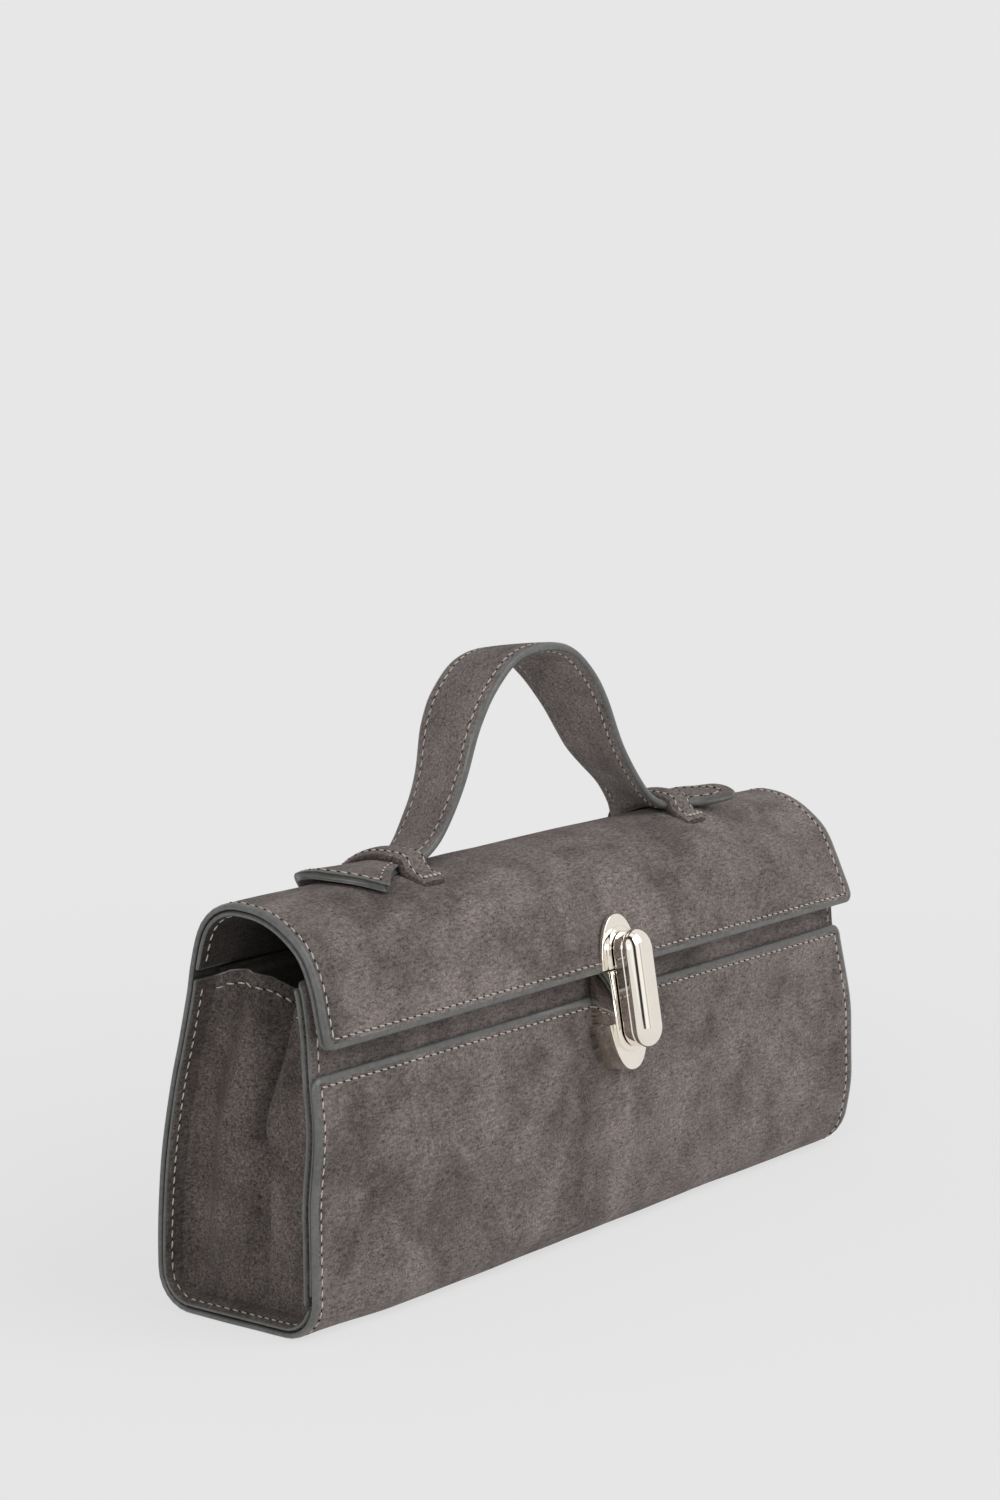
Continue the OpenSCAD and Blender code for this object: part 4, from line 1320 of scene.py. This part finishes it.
def rounded_levels(low, high, radius):
    """Levels that run up a wall and turn over a small rounded edge."""
    out = [(low, 0.0), (mix(low, high - radius, 0.5), 0.0)]
    for k in range(ROUND_STEPS + 1):
        a = math.radians(90 * k / ROUND_STEPS)
        out.append((high - radius + radius * math.sin(a), radius * (1 - math.cos(a))))
    return out


def front_height(u, v):
    """Just behind the front's face, as a height in the lock's frame, found in tenths of a millimetre."""
    for tenths in range(FRONT_SEARCH):
        p = lock_point(u, v, -tenths / 10)
        if p.y >= inner_y(min(p.z, APRON_TOP_SHARE * HEIGHT - APRON_BELOW_TOP), True, 0.0):
            return -tenths / 10 - FRONT_SINK
    return FRONT_DEEPEST - FRONT_SINK


def knob_levels():
    """The boss behind the knob, the knob's back, a short wall and the crown. Pairs of near levels
    keep the shading of a wall apart from that of its ends."""
    base = PLATE + PAD_RISE + KNOB_GAP
    boss = PLATE + PAD_RISE + BOSS_GAP
    out = [(boss + w, inset) for w, inset in BOSS_LEVELS]
    out += [(base + w, inset) for w, inset in BACK_LEVELS]
    rise = KNOB_EDGE + KNOB_DOME - KNOB_WALL
    for k in range(1, CROWN_STEPS + 1):
        a = math.radians(CROWN_ANGLE * k / CROWN_STEPS)
        out.append((base + KNOB_WALL + rise * math.sin(a), KNOB_WIDTH / 2 * (1 - math.cos(a))))
    return out


def add_lock():
    pad = pill(KNOB_LENGTH + PAD_WIDTH - KNOB_WIDTH, PAD_WIDTH, KNOB_MIDDLE, PAD_STEPS)
    pad_top = PLATE + PAD_RISE
    sunk = [(BLOCK_BACK, 0.0)]
    plate = lofted("half_plate", oval(0.0, OVAL_REACH),
                   [(0.0, 0.0)] + rounded_levels(PLATE_WALL, PLATE, PLATE_ROUND))
    upper_pad = lofted("half_plate_pad", clipped(pad, 0.0, 1),
                       rounded_levels(PLATE - PAD_SINK, pad_top, PAD_ROUND))
    block = lofted("lock_block", oval(OVAL_BOTTOM - OVAL_SPARE, OVAL_BOTTOM + BLOCK_HEIGHT),
                   sunk + rounded_levels(BLOCK_WALL, PLATE, PLATE_ROUND), back=front_height)
    neck = lofted("lock_neck", clipped(pad, -EDGE_CLEARANCE, -1),
                  sunk + rounded_levels(BLOCK_WALL, pad_top, PAD_ROUND), back=front_height)
    knob = lofted("turn_knob", pill(KNOB_LENGTH, KNOB_WIDTH, KNOB_MIDDLE, KNOB_STEPS), knob_levels())
    fit(plate, "flap", "lock_metal", "flap_plate")
    fit(upper_pad, "flap", "lock_metal")
    fit(block, "body", "lock_metal", "lock_body")
    fit(neck, "body", "lock_metal")
    fit(knob, "knob", "lock_metal", "lock_knob")


# CAD nodes that are carried over as they are
NODE_FINISH = {
    "base_board": BOARD, "back_board": BOARD, "lock_post": NICKEL, "lock_spring_washer": PLAIN_METAL,
    "lock_retaining_washer": PLAIN_METAL, "lock_backing_plate": PLAIN_METAL, "lock_screws": PLAIN_METAL,
    "flap_plate_backing": PLAIN_METAL, "flap_plate_rivets": PLAIN_METAL}


def finish_nodes():
    for node, finish in NODE_FINISH.items():
        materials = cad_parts[node].data.materials
        materials.clear()
        materials.append(finish)


# The camera in degrees and millimetres, and the studio in metres
CAMERA_AZIMUTH = -52.675
CAMERA_RISE = 8.369
CAMERA_DISTANCE = 1030.93
CAMERA_AIM = Vector((0, 6.5, 60.0))
CAMERA_SIDE = -4.056
CAMERA_UP = 86.364
CAMERA_LENS = 79.543
SENSOR_HEIGHT = 36
NEAREST = 0.05
FARTHEST = 50
BACKDROP = srgb(231, 231, 231)
FLOOR_SIZE = 30000
FLOOR_GLOW = 0.82
GLOW_START = 0.12
GLOW_END = 0.60
WORLD_STRENGTH = 0.40
LAMP_AIM = Vector((0, 0, 0.08))


def linked_object(name, data):
    made = bpy.data.objects.new(name, data)
    bpy.context.scene.collection.objects.link(made)
    return made


def add_camera():
    data = bpy.data.cameras.new("camera")
    made = linked_object("camera", data)
    a, e = math.radians(CAMERA_AZIMUTH), math.radians(CAMERA_RISE)
    back = Vector((math.sin(a) * math.cos(e), -math.cos(a) * math.cos(e), math.sin(e)))
    right = Vector((math.cos(a), math.sin(a), 0))
    up = back.cross(right)
    made.location = (CAMERA_AIM + right * CAMERA_SIDE + up * CAMERA_UP + back * CAMERA_DISTANCE) * MM
    made.rotation_euler = back.to_track_quat("Z", "Y").to_euler()
    data.sensor_fit = "VERTICAL"
    data.sensor_height = SENSOR_HEIGHT
    data.lens = CAMERA_LENS
    data.clip_start = NEAREST
    data.clip_end = FARTHEST
    bpy.context.scene.camera = made


def add_floor():
    """A grey floor that takes shadows near the bag and goes over into the backdrop's tone."""
    found, tree, shader, place = material("floor")
    feed(tree, shader, {"Base Color": grey(0.92), "Roughness": 0.9, "Specular IOR Level": 0.0})
    distance = add(tree, "ShaderNodeVectorMath", {0: place}, operation="LENGTH").outputs["Value"]
    fade = add(tree, "ShaderNodeMapRange", {
        "Value": distance, "From Min": GLOW_START, "From Max": GLOW_END, "To Min": FLOOR_GLOW},
        interpolation_type="SMOOTHSTEP")
    glow = add(tree, "ShaderNodeEmission", {"Color": BACKDROP, "Strength": 1.0})
    blend = add(tree, "ShaderNodeMixShader", {
        0: fade.outputs["Result"], 1: shader.outputs[0], 2: glow.outputs[0]})
    feed(tree, tree.nodes["Material Output"], {"Surface": blend.outputs[0]})
    corners = [(x * FLOOR_SIZE, y * FLOOR_SIZE, 0) for x, y in ((-1, -1), (1, -1), (1, 1), (-1, 1))]
    mesh_object("floor", corners, [(0, 1, 2, 3)], [found], flat=True)


def add_lamp(name, place, size, power):
    data = bpy.data.lights.new(name, "AREA")
    data.size = size
    data.energy = power
    made = linked_object(name, data)
    made.location = place
    made.rotation_euler = (Vector(place) - LAMP_AIM).to_track_quat("Z", "Y").to_euler()


# Brightness that the metal mirrors, from the left of the room to its right
CARD_STOPS = [(0.0, grey(0.85)), (0.24, grey(1.0)), (0.30, grey(0.04)), (0.41, grey(0.03)), (0.46, grey(1.0)),
              (0.60, grey(1.0)), (0.64, grey(0.42)), (0.68, grey(0.9)), (0.74, grey(0.80)), (1.0, grey(0.82))]


def add_world():
    """One light for the bag, another for what the metal mirrors, and the backdrop's tone."""
    world = bpy.data.worlds.new("studio")
    bpy.context.scene.world = world
    world.use_nodes = True
    tree = world.node_tree
    tree.nodes.clear()
    direction = add(tree, "ShaderNodeSeparateXYZ", {0: add(tree, "ShaderNodeTexCoord").outputs["Generated"]})
    across = add(tree, "ShaderNodeMapRange", {"Value": direction.outputs["X"], "From Min": -1.0})
    cards = ramp(tree, across.outputs["Result"], CARD_STOPS)
    lit = add(tree, "ShaderNodeBackground", {"Color": grey(1), "Strength": WORLD_STRENGTH})
    mirrored = add(tree, "ShaderNodeBackground", {"Color": cards})
    seen = add(tree, "ShaderNodeBackground", {"Color": BACKDROP})
    path = add(tree, "ShaderNodeLightPath")
    shiny = add(tree, "ShaderNodeMixShader", {
        0: path.outputs["Is Glossy Ray"], 1: lit.outputs[0], 2: mirrored.outputs[0]})
    blend = add(tree, "ShaderNodeMixShader", {
        0: path.outputs["Is Camera Ray"], 1: shiny.outputs[0], 2: seen.outputs[0]})
    add(tree, "ShaderNodeOutputWorld", {"Surface": blend.outputs[0]})


add_camera()
add_floor()
add_world()
add_lamp("key", (0.35, -1.3, 1.5), size=1.4, power=16)
add_lamp("fill", (-1.6, -0.7, 0.9), size=0.7, power=9.5)

add_wrap()
add_flap_lining()
add_front()
for side, sign in (("left", -1), ("right", 1)):
    add_gusset(side, sign)
    add_loop(side, sign)
    add_tab(side, sign)
add_strap()
add_lock()
finish_nodes()

bpy.context.scene.view_settings.view_transform = "Standard"
